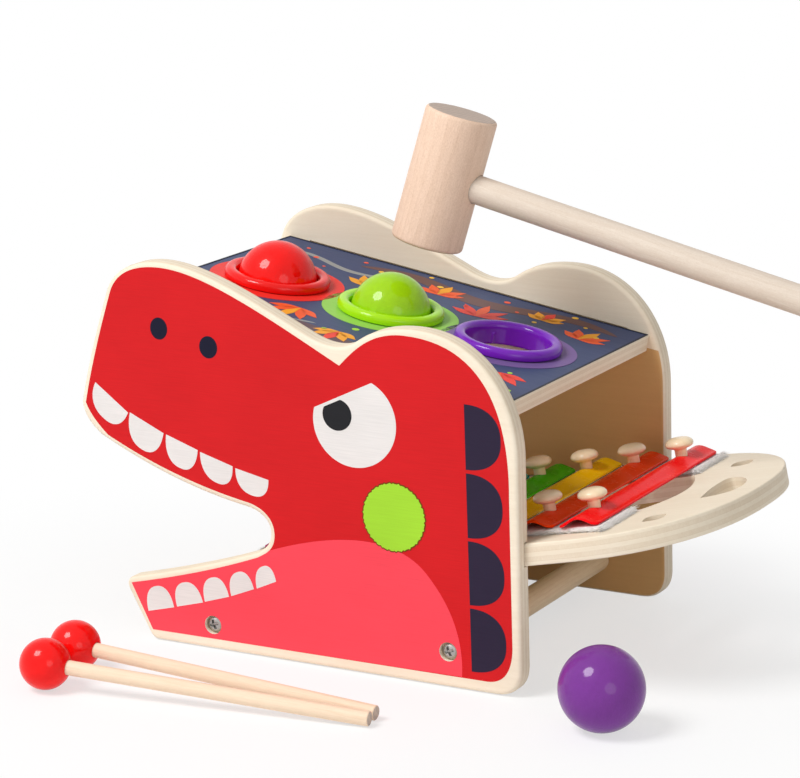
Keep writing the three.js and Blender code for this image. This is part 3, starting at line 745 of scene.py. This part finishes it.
# The side strips are painted shade of the gaps beside the panels; the end bars are a printed edge.
for v in (-1, 1):
    strip = bar((PRINT_END, TOP_LENGTH - PRINT_END), (v * shade_and_border_edge, v * outside))
    top_print.append((strip, SHADE_AND_BORDER_INK, 4))
for s in (PRINT_END, TOP_LENGTH - PRINT_END - 1):
    top_print.append((bar((s, s + 1), (-shade_and_border_edge, shade_and_border_edge)), SHADE_AND_BORDER_INK, 4))
DISC_COLOURS = paint(236, 50, 42), paint(150, 206, 86), paint(118, 92, 148)
for s, colour in zip(RING_PLACES, DISC_COLOURS):
    for side in (-1, 1):
        top_print.append((half_disc(s, side), colour, 4))
SHELF_TOP = TOP_ORIGIN - INK_DEPTH * TOP_AXES[2]
shelf_ink = screen_ink("ink_shelf", SHELF_TOP, TOP_AXES, 0.15)
shelf_print = film("shelf_print", top_print, SHELF_TOP, TOP_AXES, "bench", shelf_ink)

# Three plastic rings, moulded in one colour each: a fat rolled flange lies on the board, a short tube sits in
# its hole, and four small ribs inside the tube grip a ball until it is knocked through.
BALL_RADIUS = 22.5
RING_BORE = 23.3
RING_TUBE = 26.3
RING_FLANGE = 30.2
RING_RISE = 5.8
RING_DEPTH = 7.0
RING_COLOURS = {"red": paint(246, 20, 16), "green": paint(176, 238, 18), "purple": paint(122, 34, 188)}
RIB_HALF = 1.2  # half a rib's width


def ball_ring(sides=288):
    """A closed profile turned about the axis: the flange is the upper half of a superellipse, the bore runs
    down from it to the tube's foot. Inside, a rib stands in at each quarter, 1 - (distance / half width)^2 in
    section."""
    t = np.linspace(0, np.pi, 25)
    middle, half = (RING_FLANGE + RING_BORE) / 2, (RING_FLANGE - RING_BORE) / 2
    r = middle + half * np.sign(np.cos(t)) * np.abs(np.cos(t)) ** 0.8
    flange = np.stack([r, 1.6 + (RING_RISE - 1.6) * np.sin(t) ** 0.8], axis=1)
    bore = np.stack([np.full(12, RING_BORE), np.linspace(0.4, 0.6 - RING_DEPTH, 12)], axis=1)
    foot = [
        (RING_BORE + 0.3, 0.1 - RING_DEPTH), (RING_BORE + 0.9, -RING_DEPTH), (RING_TUBE - 0.9, -RING_DEPTH),
        (RING_TUBE - 0.3, 0.2 - RING_DEPTH), (RING_TUBE, 0.9 - RING_DEPTH),
    ]
    under = [(RING_TUBE, 0.0), (RING_TUBE + 0.3, 0.3), (RING_FLANGE - 0.9, 0.3), (RING_FLANGE - 0.2, 0.7)]
    r, h = np.vstack([flange, bore, foot, under]).T[:, :, None]
    a = np.arange(sides) * 2 * np.pi / sides
    quarter = (a % (np.pi / 2)) - np.pi / 4
    rib = np.clip(1 - (quarter * RING_BORE / RIB_HALF) ** 2, 0, 1) * (RING_BORE - BALL_RADIUS - 0.3)
    r = r - ((r < RING_BORE + 0.1) & (h < -0.5) & (h > 0.5 - RING_DEPTH)) * rib
    points = np.stack([r * np.cos(a), r * np.sin(a), h + 0 * a], axis=2).reshape(-1, 3)
    faces = np.array(grid_faces(len(h) + 1, sides)) % len(points)
    return points, faces.tolist()


def deeper(colour, share):
    """A colour dimmed to a share of its light."""
    return (*[share * c for c in colour[:3]], 1.0)


def moulded(name, colour):
    """Glossy moulded plastic: one colour right through, with faint flow marks and hairline scuffs in its
    gloss."""
    fixed = {"Specular IOR Level": 0.08, "Coat Weight": 0.36, "Coat Roughness": 0.06}
    material, place = finish(name, fixed)
    flow = noise(place, (26, 26, 26), detail=2)
    scuffs = noise(place, (700, 700, 700), detail=3)
    colour = mixed(flow * 0.5, colour, deeper(colour, 0.72))
    return dressed(material, colour, scuffs * 0.16 + 0.14, flow * 0.6 + scuffs * 0.06, 0.1, 0.0006)


for s, (name, colour) in zip(RING_PLACES, RING_COLOURS.items()):
    origin = TOP_ORIGIN + s * TOP_AXES[0]
    grip = put(f"grip_ring_{name}", ball_ring(), origin, TOP_AXES, "bench", f"ring_{name}")
    grip.data.materials.append(moulded(f"moulded_{name}", colour))

# Three turned wooden balls, dipped in gloss lacquer. Two sit half sunk in their rings, and the third has been
# knocked through and lies on the floor by the tail.
BALL_COLOURS = {"red": paint(252, 12, 6), "green": paint(164, 217, 14), "purple": paint(122, 52, 148)}
BALL_PLACES = {
    "red": TOP_ORIGIN + RING_PLACES[0] * TOP_AXES[0],
    "green": TOP_ORIGIN + RING_PLACES[1] * TOP_AXES[0],
    "purple": np.array([292.0, -25.4, BALL_RADIUS]),
}
BALL_AXES = [(0.8, 0.6, 0), (-0.48, 0.64, 0.6), (0.36, -0.48, 0.8)]


def sphere(radius, rows=64):
    """A ball's profile: (R cos t, R sin t) from pole to pole."""
    t = np.linspace(-np.pi / 2, np.pi / 2, rows)
    profile = np.stack([radius * np.cos(t), radius * np.sin(t)], axis=1)
    profile[[0, -1], 0] = 0
    return profile


def lacquer(name, colour, origin, axes):
    """Gloss lacquer on turned wood: the grain still shows as soft bands along the piece, dimmed by the
    colour, and the lacquer lies a little uneven over it."""
    fixed = {"Coat Weight": 0.42, "Coat Roughness": 0.05, "Specular IOR Level": 0.05}
    material, place = finish(name, fixed)
    own = along(place, origin, axes)
    grain = noise(own, (0.32, 0.32, 0.03), detail=5)
    peel = noise(own, (0.8, 0.8, 0.8), detail=3)
    colour = mixed(grain * 0.9 - 0.2, colour, deeper(colour, 0.8))
    return dressed(material, colour, peel * 0.2 + 0.22, peel * 0.7 + grain * 0.3, 0.45, 0.0005)


for name, colour in BALL_COLOURS.items():
    at, solid = BALL_PLACES[name], turned(sphere(BALL_RADIUS), 128)
    ball = put(f"{name}_pounding_ball", solid, at, BALL_AXES, f"{name}_ball", f"ball_{name}")
    ball.data.materials.append(lacquer(f"lacquer_{name}", colour, at, BALL_AXES))

# The xylophone's board, a ply ramp that slides out at the tail in the panels' grooves. Its end is rounded,
# with a drop for a finger and two small leaves cut through, and a long sound hole lies under the middle of
# the keys.
RAMP_HALF = 96.5
RAMP_TIP = 98.9
RAMP_POWER = 2 / 2.38
RAMP_CUT = (-14.0, 2.0)  # heights that clear the board's two faces
KEY_COUNT = 8
KEY_FIRST = 26.9
KEY_PITCH = 28.0
KEY_STEP = 3.44
KEY_HALF = 84.0
FELT_OUTER = KEY_HALF - 1
FELT_INNER = FELT_OUTER / 2
FELT_LOW = KEY_FIRST - (KEY_COUNT - 1) * KEY_PITCH - 14
FELT_HIGH = KEY_FIRST + 14
PIN_OFFSET = KEY_HALF - 24.7
PIN_STEM = 3.4
PIN_ROOM = 0.3
LEAF_PLACE = 62


def taper(widest, u):
    """Half widths shrink along the board with the keys' lengths."""
    return widest - (KEY_FIRST - u) * KEY_STEP / KEY_PITCH


def pin_spot(number, side):
    """Where a pin stands on the board: along it at its key, and across it in step with the key's length."""
    return KEY_FIRST - number * KEY_PITCH, side * (PIN_OFFSET - number * KEY_STEP)


angle = np.linspace(-np.pi / 2, np.pi / 2, 91)
tip = np.stack([
    RAMP_SHOULDER + (RAMP_TIP - RAMP_SHOULDER) * np.abs(np.cos(angle)) ** RAMP_POWER,
    RAMP_HALF * np.sign(np.sin(angle)) * np.abs(np.sin(angle)) ** RAMP_POWER,
], axis=1)
inner_end = [
    (RAMP_INNER + 3, RAMP_HALF), (RAMP_INNER, RAMP_HALF - 3),
    (RAMP_INNER, 3 - RAMP_HALF), (RAMP_INNER + 3, -RAMP_HALF),
]
solid = slab(evenly(np.vstack([tip, inner_end]), 1.4), -RAMP_THICK, 0, 0.9)
ramp = put("ramp", solid, RAMP_ORIGIN, RAMP_AXES, "xylophone", "xylophone_board")
low_edge, high_edge = taper(FELT_INNER, FELT_LOW) - 3.5, taper(FELT_INNER, FELT_HIGH) - 3.5
sound_hole = drawn((FELT_LOW + 6, -low_edge), [
    [(FELT_HIGH, -high_edge)], [(FELT_HIGH + 22, 0), (FELT_HIGH, high_edge)], [(FELT_LOW + 6, low_edge)],
    [(FELT_LOW, 0), (FELT_LOW + 6, -low_edge)],
])
drop = drawn((70.6, -22.6), [
    [(80, -19.5), (86.3, -13), (86, -1.5)], [(85.6, 14), (78, 24.6), (71, 24.6)],
    [(66.3, 24.6), (65.3, 8), (70.6, -22.6)],
])
leaf_hole = drawn((57.2, -7.6), [[(70.5, -6.5), (64.6, 7.6)], [(51.5, 6.5), (57.2, -7.6)]])
cuts = [sound_hole, drop, leaf_hole - [0, LEAF_PLACE], leaf_hole + [0, LEAF_PLACE]]
pin_hole = plug(PIN_STEM + PIN_ROOM, -9.3, 2, 24)
pin_holes = [moved(pin_hole, *pin_spot(i, side), 0) for side in (-1, 1) for i in range(KEY_COUNT)]
carve(ramp, joined(*[plate(cut, *RAMP_CUT) for cut in cuts], *pin_holes), RAMP_ORIGIN, RAMP_AXES)
RAMP_BASE = RAMP_ORIGIN - RAMP_THICK * RAMP_AXES[2]
ramp.data.materials.append(birch_ply("birch_ply_ramp", RAMP_BASE, RAMP_AXES, RAMP_THICK, plies=5))

# Two strips of white wool felt, glued on both sides of the sound hole, carry the keys. They narrow in step
# with the keys, and their cut edges are soft and hairy.
FELT_GRID = (260, 60)
FELT_SIDES = {"near": -1, "far": 1}
FELT_THICK = 3.0
FELT_LIP = 2.6  # how far in from its edge a strip is full thick
FELT_LIFT = 0.3  # over the board
FELT_HALF = 20.5
HAIR_RADIUS = 0.1


def rounded_share(share, half, lip):
    """How thick a sheet is near its rim: sqrt(1 - (1 - d / lip)^2) at the distance d, and 1 further in."""
    d = np.clip((1 - np.abs(share)) * half / lip, 0, 1)
    return np.sqrt(1 - (1 - d) ** 2)


def sheet(x, y, top, under):
    """A closed sheet: two grids of heights over one grid of places, which meet all round the rim."""
    points = np.concatenate([np.stack([x, y, height], axis=2).reshape(-1, 3) for height in (top, under)])
    rows, columns = x.shape
    i, k = np.meshgrid(np.arange(rows - 1), np.arange(columns - 1), indexing="ij")
    corner = (i * columns + k).ravel()
    quads = np.stack([corner, corner + columns, corner + columns + 1, corner + 1], axis=1)
    return points, np.vstack([quads, quads[:, ::-1] + rows * columns]).tolist()


def felt_strip(side):
    """A sheet on the grid (a, b) of -1 to 1 along and across, thick where rounded_share says, with its top
    and its rim stirred by fixed random numbers."""
    shuffle = np.random.default_rng(5 + side)
    a, b = np.meshgrid(*[np.linspace(-1, 1, count) for count in FELT_GRID], indexing="ij")
    half = (FELT_HIGH - FELT_LOW) / 2
    u = (FELT_LOW + FELT_HIGH) / 2 + a * half
    near, far = taper(FELT_INNER, u), taper(FELT_OUTER, u)
    v = (near + far) / 2 + b * (far - near) / 2
    full = np.minimum(rounded_share(a, half, FELT_LIP), rounded_share(b, FELT_HALF, FELT_LIP))
    hair = shuffle.normal(0, 1, FELT_GRID)
    rim = (full < 0.9) * 0.3
    u = u + rim * shuffle.normal(0, 1, FELT_GRID)
    v = v + rim * hair
    thick = (FELT_THICK - FELT_LIFT) / 2
    top = FELT_LIFT + thick + thick * full - 0.16 * np.abs(hair)
    under = np.where(full == 0, top, FELT_LIFT + thick - thick * full)
    points, faces = sheet(u, side * v, top, under)
    return points, faces if side > 0 else [face[::-1] for face in faces]


def felt_fluff(side, count=9000):
    """Loose hairs along a strip's cut edges. A hair is a thin three-sided tube carried along root + way t +
    curl t^2, for t from 0 to 1, and its radius falls off to its tip."""
    shuffle = np.random.default_rng(31 + side)
    corners = np.array([
        (u, taper(edge, u)) for u, edge in
        ((FELT_LOW, FELT_INNER), (FELT_HIGH, FELT_INNER), (FELT_HIGH, FELT_OUTER), (FELT_LOW, FELT_OUTER))
    ])
    runs = np.roll(corners, -1, axis=0) - corners
    long = np.linalg.norm(runs, axis=1)
    crowd = long * [1, 6, 1, 1]  # thickest at the open end
    pick = np.sum(shuffle.random((count, 1)) > np.cumsum(crowd / crowd.sum())[:3], axis=1)
    root = corners[pick] + shuffle.random((count, 1)) * runs[pick]
    out = np.stack([runs[pick, 1], -runs[pick, 0]], axis=1) / long[pick, None]
    lane = runs[pick] / long[pick, None]
    reach_out = shuffle.uniform(0.4, 5.5, (count, 1)) * shuffle.random((count, 1)) ** 0.7
    drift = lane * shuffle.normal(0, 1.8, (count, 1))
    way = np.column_stack([out * reach_out + drift, shuffle.normal(-0.1, 0.9, count)])
    curl = np.column_stack([lane * shuffle.normal(0, 1.4, (count, 1)), -0.5 * shuffle.random(count)])
    base = np.column_stack([root - out * 1.2, shuffle.uniform(0.4, FELT_THICK - 0.2, count)])
    for lines in (base, way, curl):
        lines[:, 1] *= side
    t = np.linspace(0, 1, 4)[None, :, None]
    path = base[:, None] + way[:, None] * t + curl[:, None] * t ** 2
    ceiling = FELT_THICK + np.where(pick == 1, 1.3, 0.15)
    path[:, :, 2] = np.clip(path[:, :, 2], 0.12, ceiling[:, None])
    aside = np.cross(way, (0, 0, 1))
    aside /= np.linalg.norm(aside, axis=1, keepdims=True)
    above = np.cross(way / np.linalg.norm(way, axis=1, keepdims=True), aside)
    a = np.arange(3)[:, None] * 2 * np.pi / 3
    spoke = aside[:, None] * np.cos(a) + above[:, None] * np.sin(a)
    radius = HAIR_RADIUS * (1 - 0.7 * t)
    points = path[:, :, None] + spoke[:, None] * radius[:, :, None]
    tube = np.array(grid_faces(4, 3) + [[2, 1, 0, 0], [9, 10, 11, 11]])
    faces = (tube[None] + 12 * np.arange(count)[:, None, None]).reshape(-1, 4)
    return points.reshape(-1, 3), [face[:3] if face[2] == face[3] else face for face in faces.tolist()]


def sealed(piece):
    """Joins the doubled points along a sheet's rim."""
    weld = piece.modifiers.new("weld", "WELD")
    weld.merge_threshold = 0.000002
    applied(piece, weld)


def wool_felt(name):
    """White felt: matted hairs in all directions, thin spots a little greyer, with a soft sheen."""
    fixed = {"Sheen Weight": 0.5, "Sheen Roughness": 0.5, "Specular IOR Level": 0.1}
    material, place = finish(name, fixed)
    mat = noise(place, (2600, 2600, 2600), detail=6, roughness=0.7)
    cloud = noise(place, (180, 180, 180), detail=3)
    colour = mixed(mat * 0.7 + cloud * 0.5 - 0.3, paint(254, 253, 252), paint(236, 232, 229))
    return dressed(material, colour, mat * 0.1 + 0.88, mat, 0.5, 0.0005)


felt_white = wool_felt("wool_felt")
for name, side in FELT_SIDES.items():
    strip = put(f"{name}_felt_strip", felt_strip(side), RAMP_ORIGIN, RAMP_AXES, "xylophone", f"felt_{name}")
    sealed(strip)
    strip.data.materials.append(felt_white)
    fluff = put(f"{name}_felt_fluff", felt_fluff(side), RAMP_ORIGIN, RAMP_AXES, "xylophone")
    fluff.data.materials.append(felt_white)

# Eight tone plates, pressed from steel sheet with a raised ridge along the middle, rounded at the corners and
# enamelled, one colour to a note. Each lies loose on the felts, kept in place by two pins.
KEY_WIDTH = 23.4
KEY_SHEET = 1.5
KEY_ARCH = 4.0
KEY_CORNER = 4.5
KEY_SEAT = FELT_THICK + 0.3
KEY_COLOURS = {
    "red": paint(255, 8, 18), "orange": paint(248, 66, 4), "yellow": paint(252, 200, 4),
    "green": paint(72, 190, 8), "teal": paint(8, 168, 172), "blue": paint(18, 88, 196),
    "purple": paint(98, 38, 166), "pink": paint(236, 76, 150),
}


def rim_grid(even, half, lip):
    """Places from -1 to 1 for a sheet: even ones over its flat part, and closer ones over its rounded lip."""
    edge = 1 - lip / half * np.array([1, 0.7, 0.4, 0.2, 0.06])
    return np.unique(np.concatenate([even * edge[0], edge, -edge, [-1, 1]]))


def tone_plate(number):
    """A sheet over the grid (a, b) of -1 to 1. Across it the middle rises as the arch times (1 + cos 2 pi x)
    / 2, and its half length falls off as a quarter circle at the corners. Top and underside part by the
    sheet's thickness inside a half-round rim."""
    half, half_width = KEY_HALF - number * KEY_STEP, KEY_WIDTH / 2
    lip = KEY_SHEET / 2
    a = rim_grid(np.linspace(-1, 1, 41), half_width, lip)
    b = rim_grid(np.sin(np.linspace(-np.pi / 2, np.pi / 2, 61)), half, lip)
    a, b = np.meshgrid(a, b, indexing="ij")
    x = a * half_width
    past = np.clip(np.abs(x) - (half_width - KEY_CORNER), 0, KEY_CORNER)
    length = half - KEY_CORNER + np.sqrt(KEY_CORNER ** 2 - past ** 2)
    full = np.minimum(rounded_share(a, half_width, lip), rounded_share(b, half, lip))
    middle = KEY_SEAT + lip + KEY_ARCH * (0.5 + 0.5 * np.cos(2 * np.pi * x / KEY_WIDTH))
    return sheet(x, b * length, middle + lip * full, middle - lip * full)


def enamel(name, colour):
    """Baked enamel on steel: even and glossy, a little pooled in low places, with the faint peel of a sprayed
    coat."""
    fixed = {"Coat Weight": 0.1, "Coat IOR": 1.35, "Coat Roughness": 0.08, "Specular IOR Level": 0.05}
    material, place = finish(name, fixed)
    pool = noise(place, (40, 40, 40), detail=3)
    peel = noise(place, (260, 260, 260), detail=2)
    colour = mixed(pool * 0.7 - 0.2, colour, deeper(colour, 0.75))
    return dressed(material, colour, peel * 0.12 + 0.2, peel, 0.02, 0.0002)


key_hole = plug(PIN_STEM + PIN_ROOM, 0, 14, 40)
for number, (name, colour) in enumerate(KEY_COLOURS.items()):
    origin = RAMP_ORIGIN + pin_spot(number, 1)[0] * RAMP_AXES[0]
    solid, node = tone_plate(number), f"key_{number + 1}_{name}"
    key = put(f"tone_plate_{number + 1}", solid, origin, RAMP_AXES, "xylophone", node)
    sealed(key)
    for side in (-1, 1):
        carve(key, moved(key_hole, 0, pin_spot(number, side)[1], 0), origin, RAMP_AXES)
    key.data.materials.append(enamel(f"enamel_{name}", colour))

# Sixteen turned pins with mushroom heads, of pale lacquered beech, driven into the board through the felt.
# Each passes loosely through its key, so that the key can ring.
PIN_HEAD = 8.0
PIN_HEAD_THICK = 6.5
PIN_UNDER = KEY_SEAT + KEY_ARCH + KEY_SHEET + 3.6

t = np.linspace(-np.pi / 2, np.pi / 2, 22)
height = 0.42 + np.where(t < 0, 0.42, 0.58) * np.sin(t)
cap = np.stack([PIN_HEAD * np.cos(t) ** 0.72, PIN_UNDER + PIN_HEAD_THICK * height], axis=1)
cap = cap[cap[:, 0] > PIN_STEM + 0.4]
neck = [
    (0, -9), (PIN_STEM - 0.4, -9), (PIN_STEM, -8.4), (PIN_STEM, PIN_UNDER - 0.5), (PIN_STEM + 0.4, PIN_UNDER),
]
crown = [(r, PIN_UNDER + share * PIN_HEAD_THICK) for r, share in ((2.4, 0.985), (1.2, 0.997), (0, 1))]
mushroom = turned(np.vstack([neck, cap, crown]), 48)
for name, side in FELT_SIDES.items():
    for number in range(KEY_COUNT):
        u, v = pin_spot(number, side)
        origin = RAMP_ORIGIN + u * RAMP_AXES[0] + [0, v, 0]
        node = f"pin_{name}_{number + 1}"
        pin = put(f"peg_{name}_{number + 1}", mushroom, origin, RAMP_AXES, "xylophone", node)
        pin.data.materials.append(round_wood(
            f"beech_{name}_{number + 1}", origin, RAMP_AXES, (6 + number, 8 - number), paint(252, 231, 196),
            paint(239, 203, 158), (-8.9, PIN_UNDER + 1.05 * PIN_HEAD_THICK), ring=5.2, gloss=0.3, coat=0.4,
        ))

# The hammer, a turned beech head with eased ends, bored from one side for a round handle of paler wood
# that is glued in. It is held in the air over the middle ball.
HAMMER_AT = np.array([138.4, MIDDLE, 252.9])
HAMMER_RADIUS = 20.1
HAMMER_HALF = 37.5
HANDLE_RADIUS = 8.0
HANDLE_START = -7.0
HANDLE_END = 219.8
HEAD_EASE = 2.2
HANDLE_EASE = 2.0

HAMMER_AXES = (spin(2, 4.1) @ spin(1, 14.4) @ spin(0, -5.2)).T
HANDLE_AXES = HAMMER_AXES[[1, 2, 0]]
t = np.linspace(0, np.pi / 2, 7)
r, h = HEAD_EASE * (np.sin(t) - 1) + HAMMER_RADIUS, HEAD_EASE * (1 - np.cos(t)) - HAMMER_HALF
lower = np.vstack([[(0, -HAMMER_HALF), (10, -HAMMER_HALF), (16, -HAMMER_HALF)], np.stack([r, h], axis=1)])
solid = turned(stepped(np.vstack([lower, lower[::-1] * [1, -1]])), 144)
maul = put("maul", solid, HAMMER_AT, HAMMER_AXES, "hammer", "hammer_head")
carve(maul, plug(HANDLE_RADIUS + 0.3, HANDLE_START - 0.3, 26, 72), HAMMER_AT, HANDLE_AXES)
maul.data.materials.append(round_wood(
    "beech_maul", HAMMER_AT, HAMMER_AXES, (25, -31), paint(243, 213, 190), paint(204, 166, 136),
    (0.25 - HAMMER_HALF, HAMMER_HALF - 0.25), ring=4.6, gloss=0.6, fuzz=0.6,
))
r, h = HANDLE_EASE * (np.cos(t) - 1) + HANDLE_RADIUS, HANDLE_EASE * (np.sin(t) - 1) + HANDLE_END
foot = [(0, HANDLE_START), (HANDLE_RADIUS - 0.8, HANDLE_START), (HANDLE_RADIUS, HANDLE_START + 0.8)]
solid = turned(stepped(np.vstack([foot, np.stack([r, h], axis=1), [(0, HANDLE_END)]])))
grip = put("grip", solid, HAMMER_AT, HANDLE_AXES, "hammer", "hammer_handle")
grip.data.materials.append(round_wood(
    "birch_grip", HAMMER_AT, HANDLE_AXES, (17, 12), paint(229, 215, 200), paint(196, 172, 148),
    (HANDLE_START + 0.2, HANDLE_END - 0.2), ring=4.2, gloss=0.6, fuzz=0.35,
))

# Two mallets for the keys: a lacquered wooden ball on a plain round stick, glued into a blind hole. They
# lie on the floor before the bench, each on its ball and on the end of its stick.
MALLET_HEAD = 13.85
MALLET_STICK = 4.0
MALLET_REACH = 182.5
MALLET_REST = 14.0  # the height of its middle
STICK_START = 6.0  # the stick's end inside the ball
MALLETS = {"front": ((3.5, -97.9), 8.1), "back": ((0.5, -64.8), 0.6)}
lean = math.degrees(math.asin((MALLET_REST - MALLET_STICK) / MALLET_REACH))

for name, ((x, y), turn) in MALLETS.items():
    at = np.array([x, y, MALLET_REST])
    axes = (spin(2, turn) @ spin(1, lean)).T[[1, 2, 0]]
    solid = turned(sphere(MALLET_HEAD, 48))
    bead = put(f"{name}_bead", solid, at, axes, f"{name}_mallet", f"mallet_head_{name}")
    carve(bead, plug(MALLET_STICK + 0.3, STICK_START - 0.3, 16, 48), at, axes)
    bead.data.materials.append(lacquer(f"lacquer_bead_{name}", paint(252, 14, 12), at, axes))
    solid = turned(rod(MALLET_STICK, STICK_START, MALLET_REACH, 0.3, 0.5), 64)
    stick = put(f"{name}_stick", solid, at, axes, f"{name}_mallet", f"mallet_stick_{name}")
    stick.data.materials.append(round_wood(
        f"birch_stick_{name}", at, axes, (9, 7), paint(247, 225, 199), paint(216, 182, 146),
        (STICK_START + 0.1, MALLET_REACH - 0.15), ring=3.4,
    ))

# A plain white floor that runs out of sight, a soft white surround, one broad lamp from the left front and a
# weaker one from the right, and the camera at the photograph's place.
FLOOR_DROP = 0.0004
CAMERA_PLACE = (0.77866, -1.39538, 0.53368)
CAMERA_TURN = (76.5757, 0.2695, 27.5649)
LENS = 139.24
SURROUND = 0.34  # the surround's light on the object, where white to the eye is 1
FLOOR_EDGE = 12.0
FLOOR_FADE = (0.17, 0.42)  # metres from the bench between which the floor turns to plain white
FLOOR_HAZE = 0.62  # white in the floor beside the bench, which thins its shadow

floor_mesh = bpy.data.meshes.new("floor")
square = np.array([(-1, -1, 0), (1, -1, 0), (1, 1, 0), (-1, 1, 0)]) * FLOOR_EDGE - [0, 0, FLOOR_DROP]
floor_mesh.from_pydata(square, [], [(0, 1, 2, 3)])
floor = bpy.data.objects.new("floor", floor_mesh)
bpy.context.scene.collection.objects.link(floor)


def seen(wire):
    """One for the rays that show the background to the eye, straight on or in a gloss or through glass."""
    kinds = ("Camera", "Glossy", "Transmission")
    rays = [wire.node("LightPath", {}, {}, out=f"Is {kind} Ray") for kind in kinds]
    return rays[0].math("MINIMUM", rays[0] + rays[1] + rays[2], 1.0)


FLOOR_FIXED = {"Base Color": (0.94, 0.94, 0.94, 1), "Roughness": 0.9, "Specular IOR Level": 0.05}
material, place = finish("pale_floor", FLOOR_FIXED)
away = place.node("VectorMath", {"operation": "LENGTH"}, {0: place}, out="Value")
near, far = FLOOR_FADE
fade = {0: away, 1: near, 2: far, 3: FLOOR_HAZE, 4: 1.0}
fade = place.node("MapRange", {"interpolation_type": "SMOOTHSTEP"}, fade)
glow = place.node("Emission", {}, {"Color": (1, 1, 1, 1), "Strength": 1.0})
lit = Wire(place.tree, place.tree.nodes["Principled BSDF"].outputs[0])
surface = place.node("MixShader", {}, {0: fade * seen(place), 1: lit, 2: glow})
place.tree.links.new(surface.socket, place.tree.nodes["Material Output"].inputs["Surface"])
floor_mesh.materials.append(material)

world = bpy.data.worlds.new("surround")
world.use_nodes = True
bpy.context.scene.world = world
tree = world.node_tree
tree.nodes["Background"].inputs["Color"].default_value = (1, 1, 1, 1)
colour = Wire(tree, tree.nodes["Background"].outputs[0])
strength = seen(colour) * (1 - SURROUND) + SURROUND
tree.links.new(strength.socket, tree.nodes["Background"].inputs["Strength"])


def lamp(name, place, aim, size, watts):
    """A round soft lamp that faces a point."""
    light = bpy.data.lights.new(name, "AREA")
    light.shape = "DISK"
    light.size = size
    light.energy = watts
    lit = bpy.data.objects.new(name, light)
    bpy.context.scene.collection.objects.link(lit)
    lit.location = place
    x, y, z = np.subtract(aim, place)
    lit.rotation_euler = (math.atan2(math.hypot(x, y), -z), 0, math.atan2(y, x) - math.pi / 2)


lamp("window", (-0.9, -1.45, 2.35), (0, 0.1, 0.1), 1.3, 66)
lamp("fill", (1.8, -1.5, 0.75), (0.05, 0.1, 0.08), 1.2, 7)

camera = bpy.data.objects.new("camera", bpy.data.cameras.new("camera"))
bpy.context.scene.collection.objects.link(camera)
camera.location = CAMERA_PLACE
camera.rotation_euler = [math.radians(a) for a in CAMERA_TURN]
camera.data.sensor_width = 36
camera.data.lens = LENS
bpy.context.scene.camera = camera
bpy.context.scene.view_settings.view_transform = "Standard"
